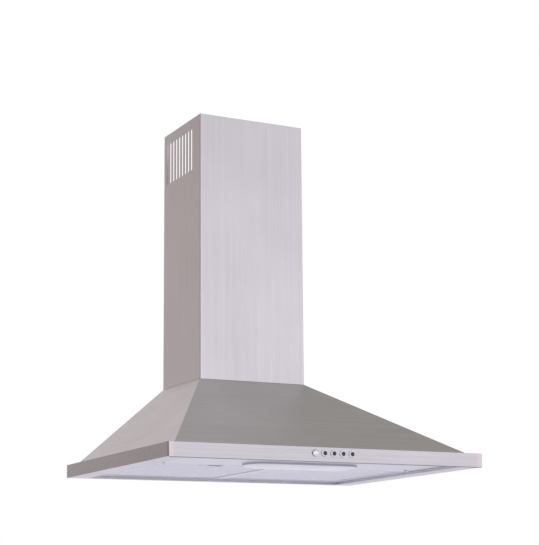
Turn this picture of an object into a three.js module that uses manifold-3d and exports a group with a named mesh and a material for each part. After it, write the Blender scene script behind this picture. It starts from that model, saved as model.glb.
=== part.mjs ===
// A wall-mounted chimney range hood, as an assembly of separate pieces, in millimetres.
// +X is right, +Y is towards the wall and +Z is up. Every piece is drawn with x = 0 on the
// centre line, y = 0 on the wall and z = 0 at the bottom of the rim. The finished group is
// then moved so that its origin lies midway between the two wall keyholes.

import * as THREE from 'three';
import { mergeVertices } from 'three/addons/utils/BufferGeometryUtils.js';
import Module from 'manifold-3d';

const wasm = await Module();
wasm.setup();

// ---------------------------------------------------------------- driving dimensions

// Overall sheet-metal form
const canopyWidth = 600;
const canopyDepth = 475;
const rimHeight = 24;
const ledgeWidth = 18;
const pyramidHeight = 150;
const chimneyWidth = 216;
const chimneyDepth = 172;
const chimneyHeight = 506;
const sheet = 0.8;
const seatGap = 0.3;
const looseGap = 0.6;

// Rim and canopy flanges
const rimCornerRadius = 2.5;
const sideLip = 38;
const frontLip = 12;
const rearLip = 12;
const recess = 5;
const footFlange = 8;
const topFlange = 8;
const rearFlange = 7;

// Chimney
const chimneyCornerRadius = 1.5;
const chimneyReturn = 12;
const slideClearance = 0.5;
const slotCount = 9;
const slotPitch = 14.3;
const slotWidth = 6;
const slotHeight = 82;
const slotTopMargin = 20;
const slotRowCentre = -74;
const extensionSlotGap = 8;
const footBracketHeight = 22;
const footBracketLength = 80;
const footBracketFlange = 9;
const bracketSheet = 1.2;
const ceilingBracketHeight = 34;
const ceilingBracketDrop = 12;
const ceilingBracketArm = 60;
const ceilingSlotSpacing = 120;
const ceilingSlotLength = 16;
const ceilingSlotWidth = 6;

// Back panel and its keyholes
const backPanelTop = 330;
const keyholeHeight = 215;
const keyholeSpacing = 150;
const keyholeRadius = 6;
const keyholeSlotRadius = 3.2;
const keyholeSlotRise = 12;

// Light panel, lamp and lens
const lightPanelDepth = 163;
const panelOverlap = 8;
const panelFlangeHeight = 12;
const lensLength = 212;
const lensWidth = 70;
const lensCornerRadius = 30;
const lensCrown = 8;
const lensCrownCorner = 2;
const lensWall = 2;
const lensRim = 6;
const lensFrontMargin = 85;
const lampBoxHeight = 38;
const lampBoxMargin = 8;
const lampBoxFlange = 7;
const holderRadius = 13;
const holderLength = 26;
const holderNose = 10;
const holderTaper = 2;
const lampAxisRise = 20;
const bulbRadius = 12;
const bulbLength = 48;
const bulbBaseRadius = 7;
const bulbBaseLength = 16;

// Grease filters
const filterThickness = 9;
const filterClearance = 0.8;
const filterSeam = 0.8;
const filterBorder = 12;
const filterWall = 1;
const pleatPitch = 10;
const pleatSheet = 1;
const tabWidth = 20;
const tabReach = 3.8;
const tabRise = 2.5;
const tabThickness = 2;
const tabSpacing = 160;
const railClearance = 2;
const railHeight = 6;
const centreBarWidth = 28;
const centreBarFlange = 8;
const latchWidth = 42;
const latchDepth = 20;
const latchTravel = 5;
const latchWall = 1.2;
const tongueWidth = 20;
const tongueThickness = 3;
const tongueReach = 3.4;
const fingerPullWidth = 26;
const fingerPullDepth = 13;

// Switch and push buttons
const buttonCount = 5;
const buttonPitch = 17.5;
const buttonRadius = 5.5;
const buttonClearance = 0.4;
const buttonProtrusion = 3.5;
const buttonDome = 1.2;
const buttonCrown = 0.4;
const buttonCrownRadius = 3.3;
const buttonTravel = 2.5;
const buttonHeight = 14;
const buttonSkirt = 9;
const buttonStemRadius = 3;
const buttonStemLength = 9;
const switchDepth = 22;
const switchHeight = 14.4;
const switchEndMargin = 15;

// Blower scroll, impeller and motor
const scrollHalfWidth = 60;
const scrollWall = 2;
const scrollCentreHeight = 114;
const scrollThroatRadius = 65;
const scrollOuterRadius = 88;
const scrollTongueAngle = 75;
const scrollTop = 215;
const scrollNeck = 10;
const scrollSeam = 3.5;
const inletRadius = 48;
const inletLip = 8;
const inletRingWidth = 8;
const inletRingLap = 3;
const inletRingWall = 1.5;
const impellerRadius = 59;
const impellerInnerRadius = 50;
const impellerHalfWidth = 46;
const impellerRing = 3;
const impellerRingLap = 1;
const bladeCount = 24;
const bladeThickness = 1.2;
const bladeSweep = 11;
const hubDisc = 2.4;
const hubRadius = 12;
const hubLength = 10;
const shaftRadius = 4;
const shaftOverhang = 2;
const motorRadius = 34;
const motorStart = 8;
const motorChamfer = 3;
const bearingRadius = 8;
const bearingLength = 7.5;
const motorBracketSheet = 2.5;
const motorBracketRim = 4;
const motorBracketReach = 63;
const motorArmWidth = 10;
const nutRadius = 7.5;
const nutThickness = 6;
const blowerBracketLap = 25;
const blowerBracketFoot = 14;
const blowerBracketBottom = 112;
const blowerBracketTop = 188;
const blowerBracketHole = 12;

// Outlet collar and its flaps
const collarRadius = 59.5;
const collarWall = 1.5;
const collarHeight = 40;
const collarPlateMargin = 5;
const flapPinHeight = 20;
const flapPinRadius = 1.5;
const flapThickness = 1.2;
const flapClearance = 1;
const knuckleRadius = 3;
const knuckleLength = 24;
const knucklePlaces = { front: [-2, 0], rear: [-1, 1] };
const flapStopWidth = 3;

// Electrical pieces on the back panel
const terminalWidth = 28;
const terminalHeight = 56;
const terminalDepth = 30;
const terminalWall = 1.6;
const terminalLidThickness = 2.4;
const terminalBottom = 244;
const terminalCentre = 78;
const glandRadius = 8;
const glandLength = 14;
const glandNeckRadius = 5.6;
const glandTipRadius = 4.8;
const glandTaper = 5.6;
const capacitorRadius = 12;
const capacitorLength = 52;
const capacitorBottom = 246;
const capacitorChamfer = 2;
const clipHeight = 20;
const clipPlateHeight = 34;
const leadRadius = 2.5;

// Facets on round pieces
const roundSegments = 20;
const fineSegments = 32;
const inletSegments = 24;
const smallSegments = 12;
const cornerSegments = 2;
const scrollFacets = 26;
const leadSides = 6;
const motorLeadSteps = 18;
const switchLeadSteps = 44;

// ---------------------------------------------------------------- derived positions

const rimHalfWidth = canopyWidth / 2;
const pyramidTop = rimHeight + pyramidHeight;
const chimneyHalfWidth = chimneyWidth / 2;
const chimneyTop = pyramidTop + chimneyHeight;
const extensionTop = chimneyTop - slotTopMargin - slotHeight - extensionSlotGap;
const mouthHalfWidth = rimHalfWidth - sideLip;
const mouthFront = -canopyDepth + frontLip;
const mouthRear = -rearLip;
const ledgeInner = rimHalfWidth - ledgeWidth - footFlange;
const panelBottom = recess + seatGap;
const panelTop = panelBottom + sheet;
const panelRear = mouthFront + lightPanelDepth;
const backPanelFront = -sheet;
const panelSeat = backPanelFront - seatGap;
const lensCentre = -canopyDepth + lensFrontMargin + lensWidth / 2;
const lampAxis = panelTop + lampAxisRise;
const filterBottom = recess;
const filterTop = filterBottom + filterThickness;
const filterFront = panelRear + filterClearance;
const filterRear = mouthRear - filterClearance;
const filterInner = filterSeam / 2;
const filterOuter = mouthHalfWidth - filterClearance;
const filterCentre = (filterInner + filterOuter) / 2;
const tongueMiddle = filterBottom + filterThickness / 2;
const extensionHalfWidth = chimneyHalfWidth - sheet - slideClearance;
const extensionFront = -chimneyDepth + sheet + slideClearance;
const footBracketTop = pyramidTop + seatGap + footBracketHeight;
const ductCentre = -chimneyDepth / 2;
const scrollOutletRear = ductCentre + collarRadius + seatGap;
const scrollCentre = scrollOutletRear - scrollOuterRadius;
const collarBase = scrollTop + seatGap;
const motorEnd = scrollHalfWidth;
const slotRow = Array.from({ length: slotCount }, (_, i) => {
  return slotRowCentre + (i - (slotCount - 1) / 2) * slotPitch;
});
const buttonRow = Array.from({ length: buttonCount }, (_, i) => {
  return (i - (buttonCount - 1) / 2) * buttonPitch;
});

// ---------------------------------------------------------------- materials

function finish(color, roughness, metalness) {
  return new THREE.MeshStandardMaterial({ color, roughness, metalness, flatShading: true });
}

const stainless = finish(0xc9c5c6, 0.34, 1);
const galvanised = finish(0xb4b8bc, 0.5, 0.9);
const aluminium = finish(0xd6d8dc, 0.4, 0.9);
const chrome = finish(0xe2e4e8, 0.12, 1);
const steel = finish(0x8e9196, 0.35, 1);
const bronze = finish(0xa9834f, 0.45, 0.9);
const blackPlastic = finish(0x24262a, 0.55, 0);
const greyPlastic = finish(0x8c9094, 0.6, 0);
const whitePlastic = finish(0xe6e6e4, 0.5, 0);
const lensPlastic = finish(0xf3f4f6, 0.25, 0);
const bulbGlass = finish(0xf6f2e6, 0.15, 0);
const cableJacket = finish(0x3a3c40, 0.6, 0);

// ---------------------------------------------------------------- solids

const weldTolerance = 1e-4;
const overcut = 1;
const sides = [['left', -1], ['right', 1]];
const [unitX, unitY, unitZ] = [[1, 0, 0], [0, 1, 0], [0, 0, 1]].map((v) => new THREE.Vector3(...v));
const extrusionFrames = {
  x: new THREE.Matrix4().makeBasis(unitY, unitZ, unitX),
  y: new THREE.Matrix4().makeBasis(unitX, unitZ, unitY),
  z: new THREE.Matrix4(),
};

// Makes a solid from a closed geometry, wound either way.
function toSolid(geometry) {
  geometry.deleteAttribute('normal');
  geometry.deleteAttribute('uv');
  const welded = mergeVertices(geometry, weldTolerance);
  const position = welded.attributes.position;
  const corners = [new THREE.Vector3(), new THREE.Vector3(), new THREE.Vector3()];
  const triangles = [];
  let volume = 0;
  for (let i = 0; i < welded.index.count; i += 3) {
    const face = corners.map((corner, k) => welded.index.getX(i + k));
    if (new Set(face).size === 3) {
      corners.forEach((corner, k) => corner.fromBufferAttribute(position, face[k]));
      volume += corners[0].dot(corners[1].cross(corners[2]));
      triangles.push(...face);
    }
  }
  const ordered = volume < 0 ? triangles.reverse() : triangles;
  return new wasm.Manifold(new wasm.Mesh({
    numProp: 3,
    vertProperties: new Float32Array(position.array),
    triVerts: new Uint32Array(ordered),
  }));
}

// Skins a stack of rings of [x, y, z] points, all with the same count, and caps both ends.
function loft(rings) {
  const count = rings[0].length;
  const last = (rings.length - 1) * count;
  const index = [];
  for (let ring = 0; ring < last; ring += count) {
    for (let i = 0; i < count; i++) {
      const a = ring + i;
      const b = ring + (i + 1) % count;
      index.push(a, b, b + count, a, b + count, a + count);
    }
  }
  for (let i = 1; i < count - 1; i++) {
    index.push(0, i + 1, i, last, last + i, last + i + 1);
  }
  const geometry = new THREE.BufferGeometry();
  geometry.setAttribute('position', new THREE.Float32BufferAttribute(rings.flat(2), 3));
  geometry.setIndex(index);
  return toSolid(geometry);
}

function block([x0, x1], [y0, y1], [z0, z1]) {
  const geometry = new THREE.BoxGeometry(x1 - x0, y1 - y0, z1 - z0);
  geometry.translate((x0 + x1) / 2, (y0 + y1) / 2, (z0 + z1) / 2);
  return toSolid(geometry);
}

// Extrudes a flat shape along an axis. It is drawn in (y, z) for x, (x, z) for y, (x, y) for z.
function prism(shape, [start, end], axis, curveSegments = cornerSegments) {
  const depth = end - start;
  const geometry = new THREE.ExtrudeGeometry(shape, { depth, bevelEnabled: false, curveSegments });
  geometry.translate(0, 0, start);
  geometry.applyMatrix4(extrusionFrames[axis]);
  return toSolid(geometry);
}

// Turns a profile of [radius, position along the axis] about an axis through a centre.
function turned(profile, axis, centre, segments = roundSegments) {
  const points = profile.map(([radius, along]) => new THREE.Vector2(radius, along));
  const geometry = new THREE.LatheGeometry(points, segments);
  if (axis === 'x') geometry.rotateZ(-Math.PI / 2);
  if (axis === 'z') geometry.rotateX(Math.PI / 2);
  geometry.translate(...centre);
  return toSolid(geometry);
}

function rod(radius, [start, end], axis, centre, segments = roundSegments) {
  return turned([[0, start], [radius, start], [radius, end], [0, end]], axis, centre, segments);
}

function tubeRing(inner, outer, [start, end], axis, centre, segments = roundSegments) {
  const profile = [[inner, start], [outer, start], [outer, end], [inner, end], [inner, start]];
  return turned(profile, axis, centre, segments);
}

function joined(solids) {
  return solids.reduce((whole, solid) => whole.add(solid));
}

function without(solid, cuts) {
  return cuts.reduce((rest, cut) => rest.subtract(cut), solid);
}

// ---------------------------------------------------------------- flat shapes

function polygon(points) {
  return new THREE.Shape(points.map(([u, v]) => new THREE.Vector2(u, v)));
}

function roundedRectangle([u0, u1], [v0, v1], radius) {
  const shape = new THREE.Shape();
  shape.absarc(u1 - radius, v0 + radius, radius, -Math.PI / 2, 0);
  shape.absarc(u1 - radius, v1 - radius, radius, 0, Math.PI / 2);
  shape.absarc(u0 + radius, v1 - radius, radius, Math.PI / 2, Math.PI);
  shape.absarc(u0 + radius, v0 + radius, radius, Math.PI, Math.PI * 1.5);
  return shape;
}

// A plan outline with square corners at the wall and rounded corners at the front.
function frontRoundedPlan(halfWidth, front, rear, radius) {
  const shape = new THREE.Shape();
  shape.moveTo(halfWidth, rear);
  shape.lineTo(-halfWidth, rear);
  shape.absarc(-halfWidth + radius, front + radius, radius, Math.PI, Math.PI * 1.5);
  shape.absarc(halfWidth - radius, front + radius, radius, -Math.PI / 2, 0);
  return shape;
}

// The stretch of x between two distances from the centre line, on the left or the right.
function spanX(side, near, far) {
  return side < 0 ? [-far, -near] : [near, far];
}

function spanAbout(centre, halfWidth) {
  return [centre - halfWidth, centre + halfWidth];
}

// ---------------------------------------------------------------- the assembly

const hood = new THREE.Group();
const works = new THREE.Group();
works.position.z = -keyholeHeight;
hood.add(works);

function addPart(name, solid, material) {
  const { vertProperties, triVerts } = solid.getMesh();
  const geometry = new THREE.BufferGeometry();
  geometry.setAttribute('position', new THREE.BufferAttribute(vertProperties, 3));
  geometry.setIndex(new THREE.BufferAttribute(triVerts, 1));
  geometry.computeVertexNormals();
  const mesh = new THREE.Mesh(geometry, material);
  mesh.name = name;
  works.add(mesh);
}

// ---------------------------------------------------------------- canopy

const mouth = [[-mouthHalfWidth, mouthHalfWidth], [mouthFront, mouthRear]];

function buttonHole(x) {
  const wall = [-canopyDepth - overcut, -canopyDepth + sheet + overcut];
  return rod(buttonRadius + buttonClearance, wall, 'y', [x, 0, buttonHeight]);
}

// Ledge, band and bottom lips folded from one sheet, with an upturned flange round the mouth.
function buildRimBand() {
  const body = prism(
    frontRoundedPlan(rimHalfWidth, -canopyDepth, 0, rimCornerRadius), [0, rimHeight], 'z');
  const inside = prism(
    frontRoundedPlan(rimHalfWidth - sheet, -canopyDepth + sheet, overcut, rimCornerRadius - sheet),
    [sheet, rimHeight - sheet], 'z');
  const ledgeOpening = block(
    [-ledgeInner, ledgeInner],
    [-canopyDepth + ledgeWidth + footFlange, overcut],
    [rimHeight - sheet - overcut, rimHeight + overcut]);
  const mouthCut = block(...mouth, [-overcut, recess + overcut]);
  const mouthFlange = block(
    spanAbout(0, mouthHalfWidth + sheet), [mouthFront - sheet, mouthRear + sheet], [0, recess]);
  const folded = without(body, [inside, ledgeOpening, ...buttonRow.map(buttonHole)]);
  addPart('rim_band', folded.add(mouthFlange).subtract(mouthCut), stainless);
}

// Half width and front edge of the pyramid at a height, moved in by a sheet thickness.
function pyramidSection(height, inset) {
  const rise = (height - rimHeight) / pyramidHeight;
  const footHalfWidth = rimHalfWidth - ledgeWidth;
  const footDepth = canopyDepth - ledgeWidth;
  const sideRun = footHalfWidth - chimneyHalfWidth;
  const frontRun = footDepth - chimneyDepth;
  return {
    halfWidth: footHalfWidth - rise * sideRun
      - inset * Math.hypot(sideRun, pyramidHeight) / pyramidHeight,
    front: -footDepth + rise * frontRun
      + inset * Math.hypot(frontRun, pyramidHeight) / pyramidHeight,
  };
}

function pyramidSolid([bottom, top], inset, rear) {
  const rings = [bottom, top].map((height) => {
    const { halfWidth, front } = pyramidSection(height, inset);
    return [
      [-halfWidth, front, height],
      [halfWidth, front, height],
      [halfWidth, rear, height],
      [-halfWidth, rear, height],
    ];
  });
  return loft(rings);
}

// Three sloping faces, with flanges turned in at the foot, the top and the rear edges.
function buildPyramid() {
  const foot = rimHeight + seatGap;
  const outer = pyramidSolid([foot, pyramidTop], 0, panelSeat);
  const through = [foot - overcut, pyramidTop + overcut];
  const shell = outer.subtract(pyramidSolid(through, sheet, overcut));
  const footSection = pyramidSection(foot, 0);
  const footRing = outer
    .intersect(block(spanAbout(0, canopyWidth), [-canopyDepth, 0], [foot, foot + sheet]))
    .subtract(block(
      spanAbout(0, footSection.halfWidth - footFlange),
      [footSection.front + footFlange, overcut],
      through));
  const topRing = outer
    .intersect(block(spanAbout(0, canopyWidth), [-canopyDepth, 0], [pyramidTop - sheet, pyramidTop]))
    .subtract(block(
      spanAbout(0, chimneyHalfWidth - topFlange), [-chimneyDepth + topFlange, overcut], through));
  const rearEdges = outer
    .intersect(block(spanAbout(0, canopyWidth), [panelSeat - sheet, panelSeat], through))
    .subtract(pyramidSolid(through, rearFlange, overcut));
  addPart('canopy_pyramid', joined([shell, footRing, topRing, rearEdges]), stainless);
}

function keyholeCut(x) {
  const round = rod(keyholeRadius, [backPanelFront - overcut, overcut], 'y', [x, 0, keyholeHeight]);
  const neck = prism(
    roundedRectangle(
      spanAbout(x, keyholeSlotRadius), [keyholeHeight, keyholeHeight + keyholeSlotRise],
      keyholeSlotRadius),
    [backPanelFront - overcut, overcut], 'y');
  return round.add(neck);
}

// Closes the canopy at the wall and rises into the chimney, where the keyholes hang the hood.
function buildBackPanel() {
  const lowHalfWidth = rimHalfWidth - sheet - seatGap;
  const stepTop = rimHeight + seatGap;
  const neckHalfWidth = chimneyHalfWidth - chimneyReturn - seatGap;
  const rightSide = [
    [lowHalfWidth, sheet + seatGap],
    [lowHalfWidth, rimHeight - sheet - seatGap],
    [ledgeInner - seatGap, rimHeight - sheet - seatGap],
    [ledgeInner - seatGap, stepTop],
    [pyramidSection(stepTop, 0).halfWidth, stepTop],
    [chimneyHalfWidth, pyramidTop],
    [neckHalfWidth, pyramidTop],
    [neckHalfWidth, backPanelTop],
  ];
  const leftSide = rightSide.map(([x, z]) => [-x, z]).reverse();
  const panel = prism(polygon([...rightSide, ...leftSide]), [backPanelFront, 0], 'y');
  const cuts = [-keyholeSpacing / 2, keyholeSpacing / 2].map(keyholeCut);
  addPart('back_panel', without(panel, cuts), galvanised);
}

// ---------------------------------------------------------------- chimney

function slotCut(y, halfWidth, top) {
  const shape = roundedRectangle(
    spanAbout(y, slotWidth / 2), [top - slotHeight, top], slotWidth / 2);
  return prism(shape, spanAbout(0, halfWidth + overcut), 'x', 1);
}

// A U of sheet, open to the wall between two narrow returns, slotted near the top.
function slottedDuct(halfWidth, front, rear, [bottom, top], cornerRadius) {
  const outer = prism(frontRoundedPlan(halfWidth, front, rear, cornerRadius), [bottom, top], 'z');
  const through = [bottom - overcut, top + overcut];
  const inner = prism(
    frontRoundedPlan(halfWidth - sheet, front + sheet, rear - sheet, cornerRadius - sheet),
    through, 'z');
  const rearMouth = block(
    spanAbout(0, halfWidth - chimneyReturn), [rear - sheet - overcut, rear + overcut], through);
  const slots = slotRow.map((y) => slotCut(y, halfWidth, top - slotTopMargin));
  return without(outer, [inner, rearMouth, ...slots]);
}

function buildChimney() {
  const cover = slottedDuct(
    chimneyHalfWidth, -chimneyDepth, 0, [pyramidTop + seatGap, chimneyTop], chimneyCornerRadius);
  addPart('chimney_cover', cover, stainless);
  const extension = slottedDuct(
    extensionHalfWidth, extensionFront, panelSeat, [footBracketTop + seatGap, extensionTop],
    chimneyCornerRadius);
  addPart('chimney_extension', extension, stainless);
}

// Angles on the top flange: they hold the cover's sides, and the extension stands on them.
function buildFootBracket(label, side) {
  const bottom = pyramidTop + seatGap;
  const outer = chimneyHalfWidth - sheet - seatGap;
  const length = spanAbout(ductCentre, footBracketLength / 2);
  const upright = block(spanX(side, outer - bracketSheet, outer), length, [bottom, footBracketTop]);
  const foot = block(
    spanX(side, outer - footBracketFlange, outer), length, [bottom, bottom + bracketSheet]);
  addPart(`chimney_foot_${label}`, upright.add(foot), galvanised);
}

// A strap inside the extension's top. Its back steps out between the extension's returns to
// lie flat on the wall, where two level slots take its screws.
function buildCeilingBracket() {
  const halfWidth = extensionHalfWidth - sheet - seatGap;
  const padHalfWidth = extensionHalfWidth - chimneyReturn - seatGap;
  const armRear = panelSeat - sheet - seatGap;
  const armFront = armRear - ceilingBracketArm;
  const top = extensionTop - ceilingBracketDrop;
  const height = [top - ceilingBracketHeight, top];
  const through = [height[0] - overcut, height[1] + overcut];
  const strap = block(spanAbout(0, halfWidth), [armFront, armRear], height);
  const inside = block(
    spanAbout(0, halfWidth - bracketSheet), [armFront - overcut, armRear - bracketSheet], through);
  const pad = block(spanAbout(0, padHalfWidth), [armRear - bracketSheet, panelSeat], height);
  const padHollow = block(
    spanAbout(0, padHalfWidth - bracketSheet),
    [armFront - overcut, panelSeat - bracketSheet], through);
  const slots = [-ceilingSlotSpacing / 2, ceilingSlotSpacing / 2].map((x) => {
    const shape = roundedRectangle(
      spanAbout(x, ceilingSlotLength / 2),
      spanAbout(top - ceilingBracketHeight / 2, ceilingSlotWidth / 2), ceilingSlotWidth / 2);
    return prism(shape, [armFront, panelSeat + overcut], 'y');
  });
  const bent = strap.subtract(inside).add(pad);
  addPart('ceiling_bracket', without(bent, [padHollow, ...slots]), galvanised);
}

// ---------------------------------------------------------------- light panel and lamp

// The lens outline, moved in by a distance, as a level ring of points.
function lensRing(inset, height) {
  const radius = lensCornerRadius - inset;
  const shape = roundedRectangle(
    spanAbout(0, lensLength / 2 - inset), spanAbout(lensCentre, lensWidth / 2 - inset), radius);
  const points = shape.getPoints(cornerSegments);
  const distinct = points.filter((point, i) => i === 0 || point.distanceTo(points[i - 1]) > seatGap);
  if (distinct[0].distanceTo(distinct.at(-1)) < seatGap) distinct.pop();
  return distinct.map(({ x, y }) => [x, y, height]);
}

// Carries the lamp, spans the mouth's front and ends in a flange that the filters lock into.
function buildLightPanel() {
  const plate = block(
    spanAbout(0, mouthHalfWidth + panelOverlap),
    [mouthFront - panelOverlap, panelRear], [panelBottom, panelTop]);
  const flange = block(
    spanAbout(0, mouthHalfWidth), [panelRear - sheet, panelRear],
    [panelBottom, panelBottom + panelFlangeHeight]);
  const lampHole = loft([
    lensRing(-looseGap, panelBottom - overcut), lensRing(-looseGap, panelTop + overcut)]);
  const tongueSlots = sides.map(([, side]) => block(
    spanAbout(side * filterCentre, tongueWidth / 2 + looseGap),
    [panelRear - sheet - overcut, panelRear + overcut],
    spanAbout(tongueMiddle, tongueThickness / 2 + looseGap)));
  addPart('light_panel', without(plate.add(flange), [lampHole, ...tongueSlots]), stainless);
}

// A thin cover with an upstanding rim, steep sides and a shallow crown, hinged at its rear edge.
function buildLens() {
  const crownSteps = [0, 0.1, 0.35, 1];
  const shell = (inset) => {
    const deepest = lensCornerRadius - inset - lensCrownCorner;
    const crown = crownSteps.map((step) => {
      const drop = lensCrown * Math.sqrt(1 - (1 - step) ** 4);
      return lensRing(inset + step * (deepest - inset), recess - drop + inset);
    });
    return [lensRing(inset, recess + lensRim), ...crown];
  };
  const hollow = shell(lensWall);
  hollow[0] = lensRing(lensWall, recess + lensRim + overcut);
  addPart('lamp_lens', loft(shell(0)).subtract(loft(hollow)), lensPlastic);
}

// A reflector box over the lamp hole, flanged where it stands on the light panel.
function buildLampBox() {
  const bottom = panelTop + seatGap;
  const halfLength = lensLength / 2 + lampBoxMargin;
  const halfDepth = lensWidth / 2 + lampBoxMargin;
  const top = bottom + lampBoxHeight;
  const outer = block(spanAbout(0, halfLength), spanAbout(lensCentre, halfDepth), [bottom, top]);
  const inner = block(
    spanAbout(0, halfLength - sheet), spanAbout(lensCentre, halfDepth - sheet),
    [bottom - overcut, top - sheet]);
  const flange = block(
    spanAbout(0, halfLength + lampBoxFlange), spanAbout(lensCentre, halfDepth + lampBoxFlange),
    [bottom, bottom + sheet]);
  addPart('lamp_box', outer.add(flange).subtract(inner), galvanised);
}

// A bulb holder on the box's end wall, and the candle bulb that screws into it.
function buildLamp(label, side) {
  const wall = lensLength / 2 + lampBoxMargin - sheet - seatGap;
  const mouthEnd = wall - holderLength;
  const socketEnd = mouthEnd + bulbBaseLength;
  const centre = [0, lensCentre, lampAxis];
  const facing = (profile) => profile.map(([radius, along]) => [radius, side * along]);
  const holder = [
    [0, wall],
    [holderRadius, wall],
    [holderRadius, mouthEnd + holderNose],
    [holderRadius - holderTaper, mouthEnd],
    [bulbBaseRadius + looseGap, mouthEnd],
    [bulbBaseRadius + looseGap, socketEnd + seatGap],
    [0, socketEnd + seatGap],
  ];
  addPart(`lamp_holder_${label}`, turned(facing(holder), 'x', centre), whitePlastic);
  const neck = mouthEnd - looseGap;
  const bulb = [
    [0, socketEnd],
    [bulbBaseRadius, socketEnd],
    [bulbBaseRadius, neck],
    [bulbRadius * 0.75, neck - bulbLength * 0.1],
    [bulbRadius, neck - bulbLength * 0.35],
    [bulbRadius * 0.9, neck - bulbLength * 0.65],
    [bulbRadius * 0.6, neck - bulbLength * 0.9],
    [0, neck - bulbLength],
  ];
  addPart(`bulb_${label}`, turned(facing(bulb), 'x', centre), bulbGlass);
}

// ---------------------------------------------------------------- grease filters

const latchRear = filterFront + 2 * latchWall + latchDepth + latchTravel;

// A channel frame round the mesh, with a latch pocket in front and two tabs behind.
function buildFilterFrame(label, side) {
  const height = [filterBottom, filterTop];
  const through = [filterBottom - overcut, filterTop + overcut];
  const hollow = [filterBottom + filterWall, filterTop - filterWall];
  const outer = block(spanX(side, filterInner, filterOuter), [filterFront, filterRear], height);
  const channel = block(
    spanX(side, filterInner + filterWall, filterOuter - filterWall),
    [filterFront + filterWall, filterRear - filterWall], hollow);
  const window = block(
    spanX(side, filterInner + filterBorder, filterOuter - filterBorder),
    [filterFront + filterBorder, filterRear - filterBorder], through);
  const centre = side * filterCentre;
  const pocket = block(
    spanAbout(centre, latchWidth / 2 + 2 * latchWall),
    [filterFront, latchRear + latchWall], height);
  const pocketHollow = block(
    spanAbout(centre, latchWidth / 2 + seatGap),
    [filterFront + latchWall, latchRear], hollow);
  const pullWindow = block(
    spanAbout(centre, fingerPullWidth / 2 + filterWall),
    [filterFront + 3 * latchWall, latchRear - 2 * latchWall],
    [filterBottom - overcut, filterBottom + filterWall + overcut]);
  const tongueSlot = block(
    spanAbout(centre, tongueWidth / 2 + seatGap),
    [filterFront - overcut, filterFront + latchWall + overcut],
    spanAbout(tongueMiddle, tongueThickness / 2 + seatGap));
  const tabs = [-tabSpacing / 2, tabSpacing / 2].map((offset) => block(
    spanAbout(centre + offset, tabWidth / 2),
    [filterRear - filterWall, filterRear + tabReach],
    [filterBottom + tabRise, filterBottom + tabRise + tabThickness]));
  const ring = without(outer, [channel, window]);
  const body = without(ring.add(pocket), [pocketHollow, pullWindow, tongueSlot]);
  addPart(`filter_frame_${label}`, joined([body, ...tabs]), aluminium);
}

// A pleated pad of mesh that fills the channel, cut away round the latch pocket.
function buildFilterMesh(label, side) {
  const inner = filterInner + filterWall + seatGap;
  const outer = filterOuter - filterWall - seatGap;
  const low = filterBottom + filterWall + seatGap;
  const high = filterTop - filterWall - seatGap - pleatSheet;
  const folds = Math.round((2 * (outer - inner)) / pleatPitch);
  const crest = Array.from({ length: folds + 1 }, (_, i) => {
    return [side * (inner + ((outer - inner) * i) / folds), i % 2 ? high : low];
  });
  const upper = crest.map(([x, z]) => [x, z + pleatSheet]).reverse();
  const length = [filterFront + filterWall + seatGap, filterRear - filterWall - seatGap];
  const pleats = prism(polygon([...crest, ...upper]), length, 'y');
  const latchCut = block(
    spanAbout(side * filterCentre, latchWidth / 2 + 2 * latchWall + seatGap),
    [filterFront - overcut, latchRear + latchWall + seatGap],
    [filterBottom - overcut, filterTop + overcut]);
  addPart(`filter_mesh_${label}`, pleats.subtract(latchCut), aluminium);
}

// A slide with a finger pull below and a tongue that locks into the light panel's flange.
function buildFilterLatch(label, side) {
  const centre = side * filterCentre;
  const front = filterFront + latchWall + seatGap;
  const floor = filterTop - filterWall - seatGap;
  const slide = block(
    spanAbout(centre, latchWidth / 2), [front, front + latchDepth],
    [filterBottom + filterWall + seatGap, floor]);
  const tongue = block(
    spanAbout(centre, tongueWidth / 2), [filterFront - tongueReach, front + latchWall],
    spanAbout(tongueMiddle, tongueThickness / 2));
  const pull = block(
    spanAbout(centre, fingerPullWidth / 2), spanAbout(front + latchDepth / 2, fingerPullDepth / 2),
    [filterBottom, floor - latchWall]);
  addPart(`filter_latch_${label}`, slide.add(tongue).subtract(pull), greyPlastic);
}

// An angle on the back panel: its shelf keeps the filters' rear tabs down.
function buildFilterRail() {
  const shelfBottom = filterBottom + tabRise + tabThickness + railClearance;
  const shelf = block(
    spanAbout(0, mouthHalfWidth - panelOverlap), [mouthRear - seatGap, panelSeat],
    [shelfBottom, shelfBottom + sheet]);
  const web = block(
    spanAbout(0, mouthHalfWidth - panelOverlap), [panelSeat - sheet, panelSeat],
    [shelfBottom, shelfBottom + railHeight]);
  addPart('filter_rear_rail', shelf.add(web), galvanised);
}

// A channel over the joint between the filters, from the light panel to the rear rail.
function buildCentreBar() {
  const length = [panelRear + seatGap, panelSeat - sheet - seatGap];
  const bottom = filterTop + seatGap;
  const bar = block(
    spanAbout(0, centreBarWidth / 2), length, [bottom, bottom + centreBarFlange]);
  const channel = block(
    spanAbout(0, centreBarWidth / 2 - sheet), [length[0] - overcut, length[1] + overcut],
    [bottom + sheet, bottom + centreBarFlange + overcut]);
  addPart('filter_centre_bar', bar.subtract(channel), galvanised);
}

// ---------------------------------------------------------------- switch

const switchFront = -canopyDepth + sheet + seatGap;
const switchRear = switchFront + switchDepth;
const buttonFront = -canopyDepth - buttonProtrusion;
const skirtEnd = buttonFront + buttonProtrusion + buttonSkirt;
const stemEnd = skirtEnd + buttonStemLength;

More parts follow.
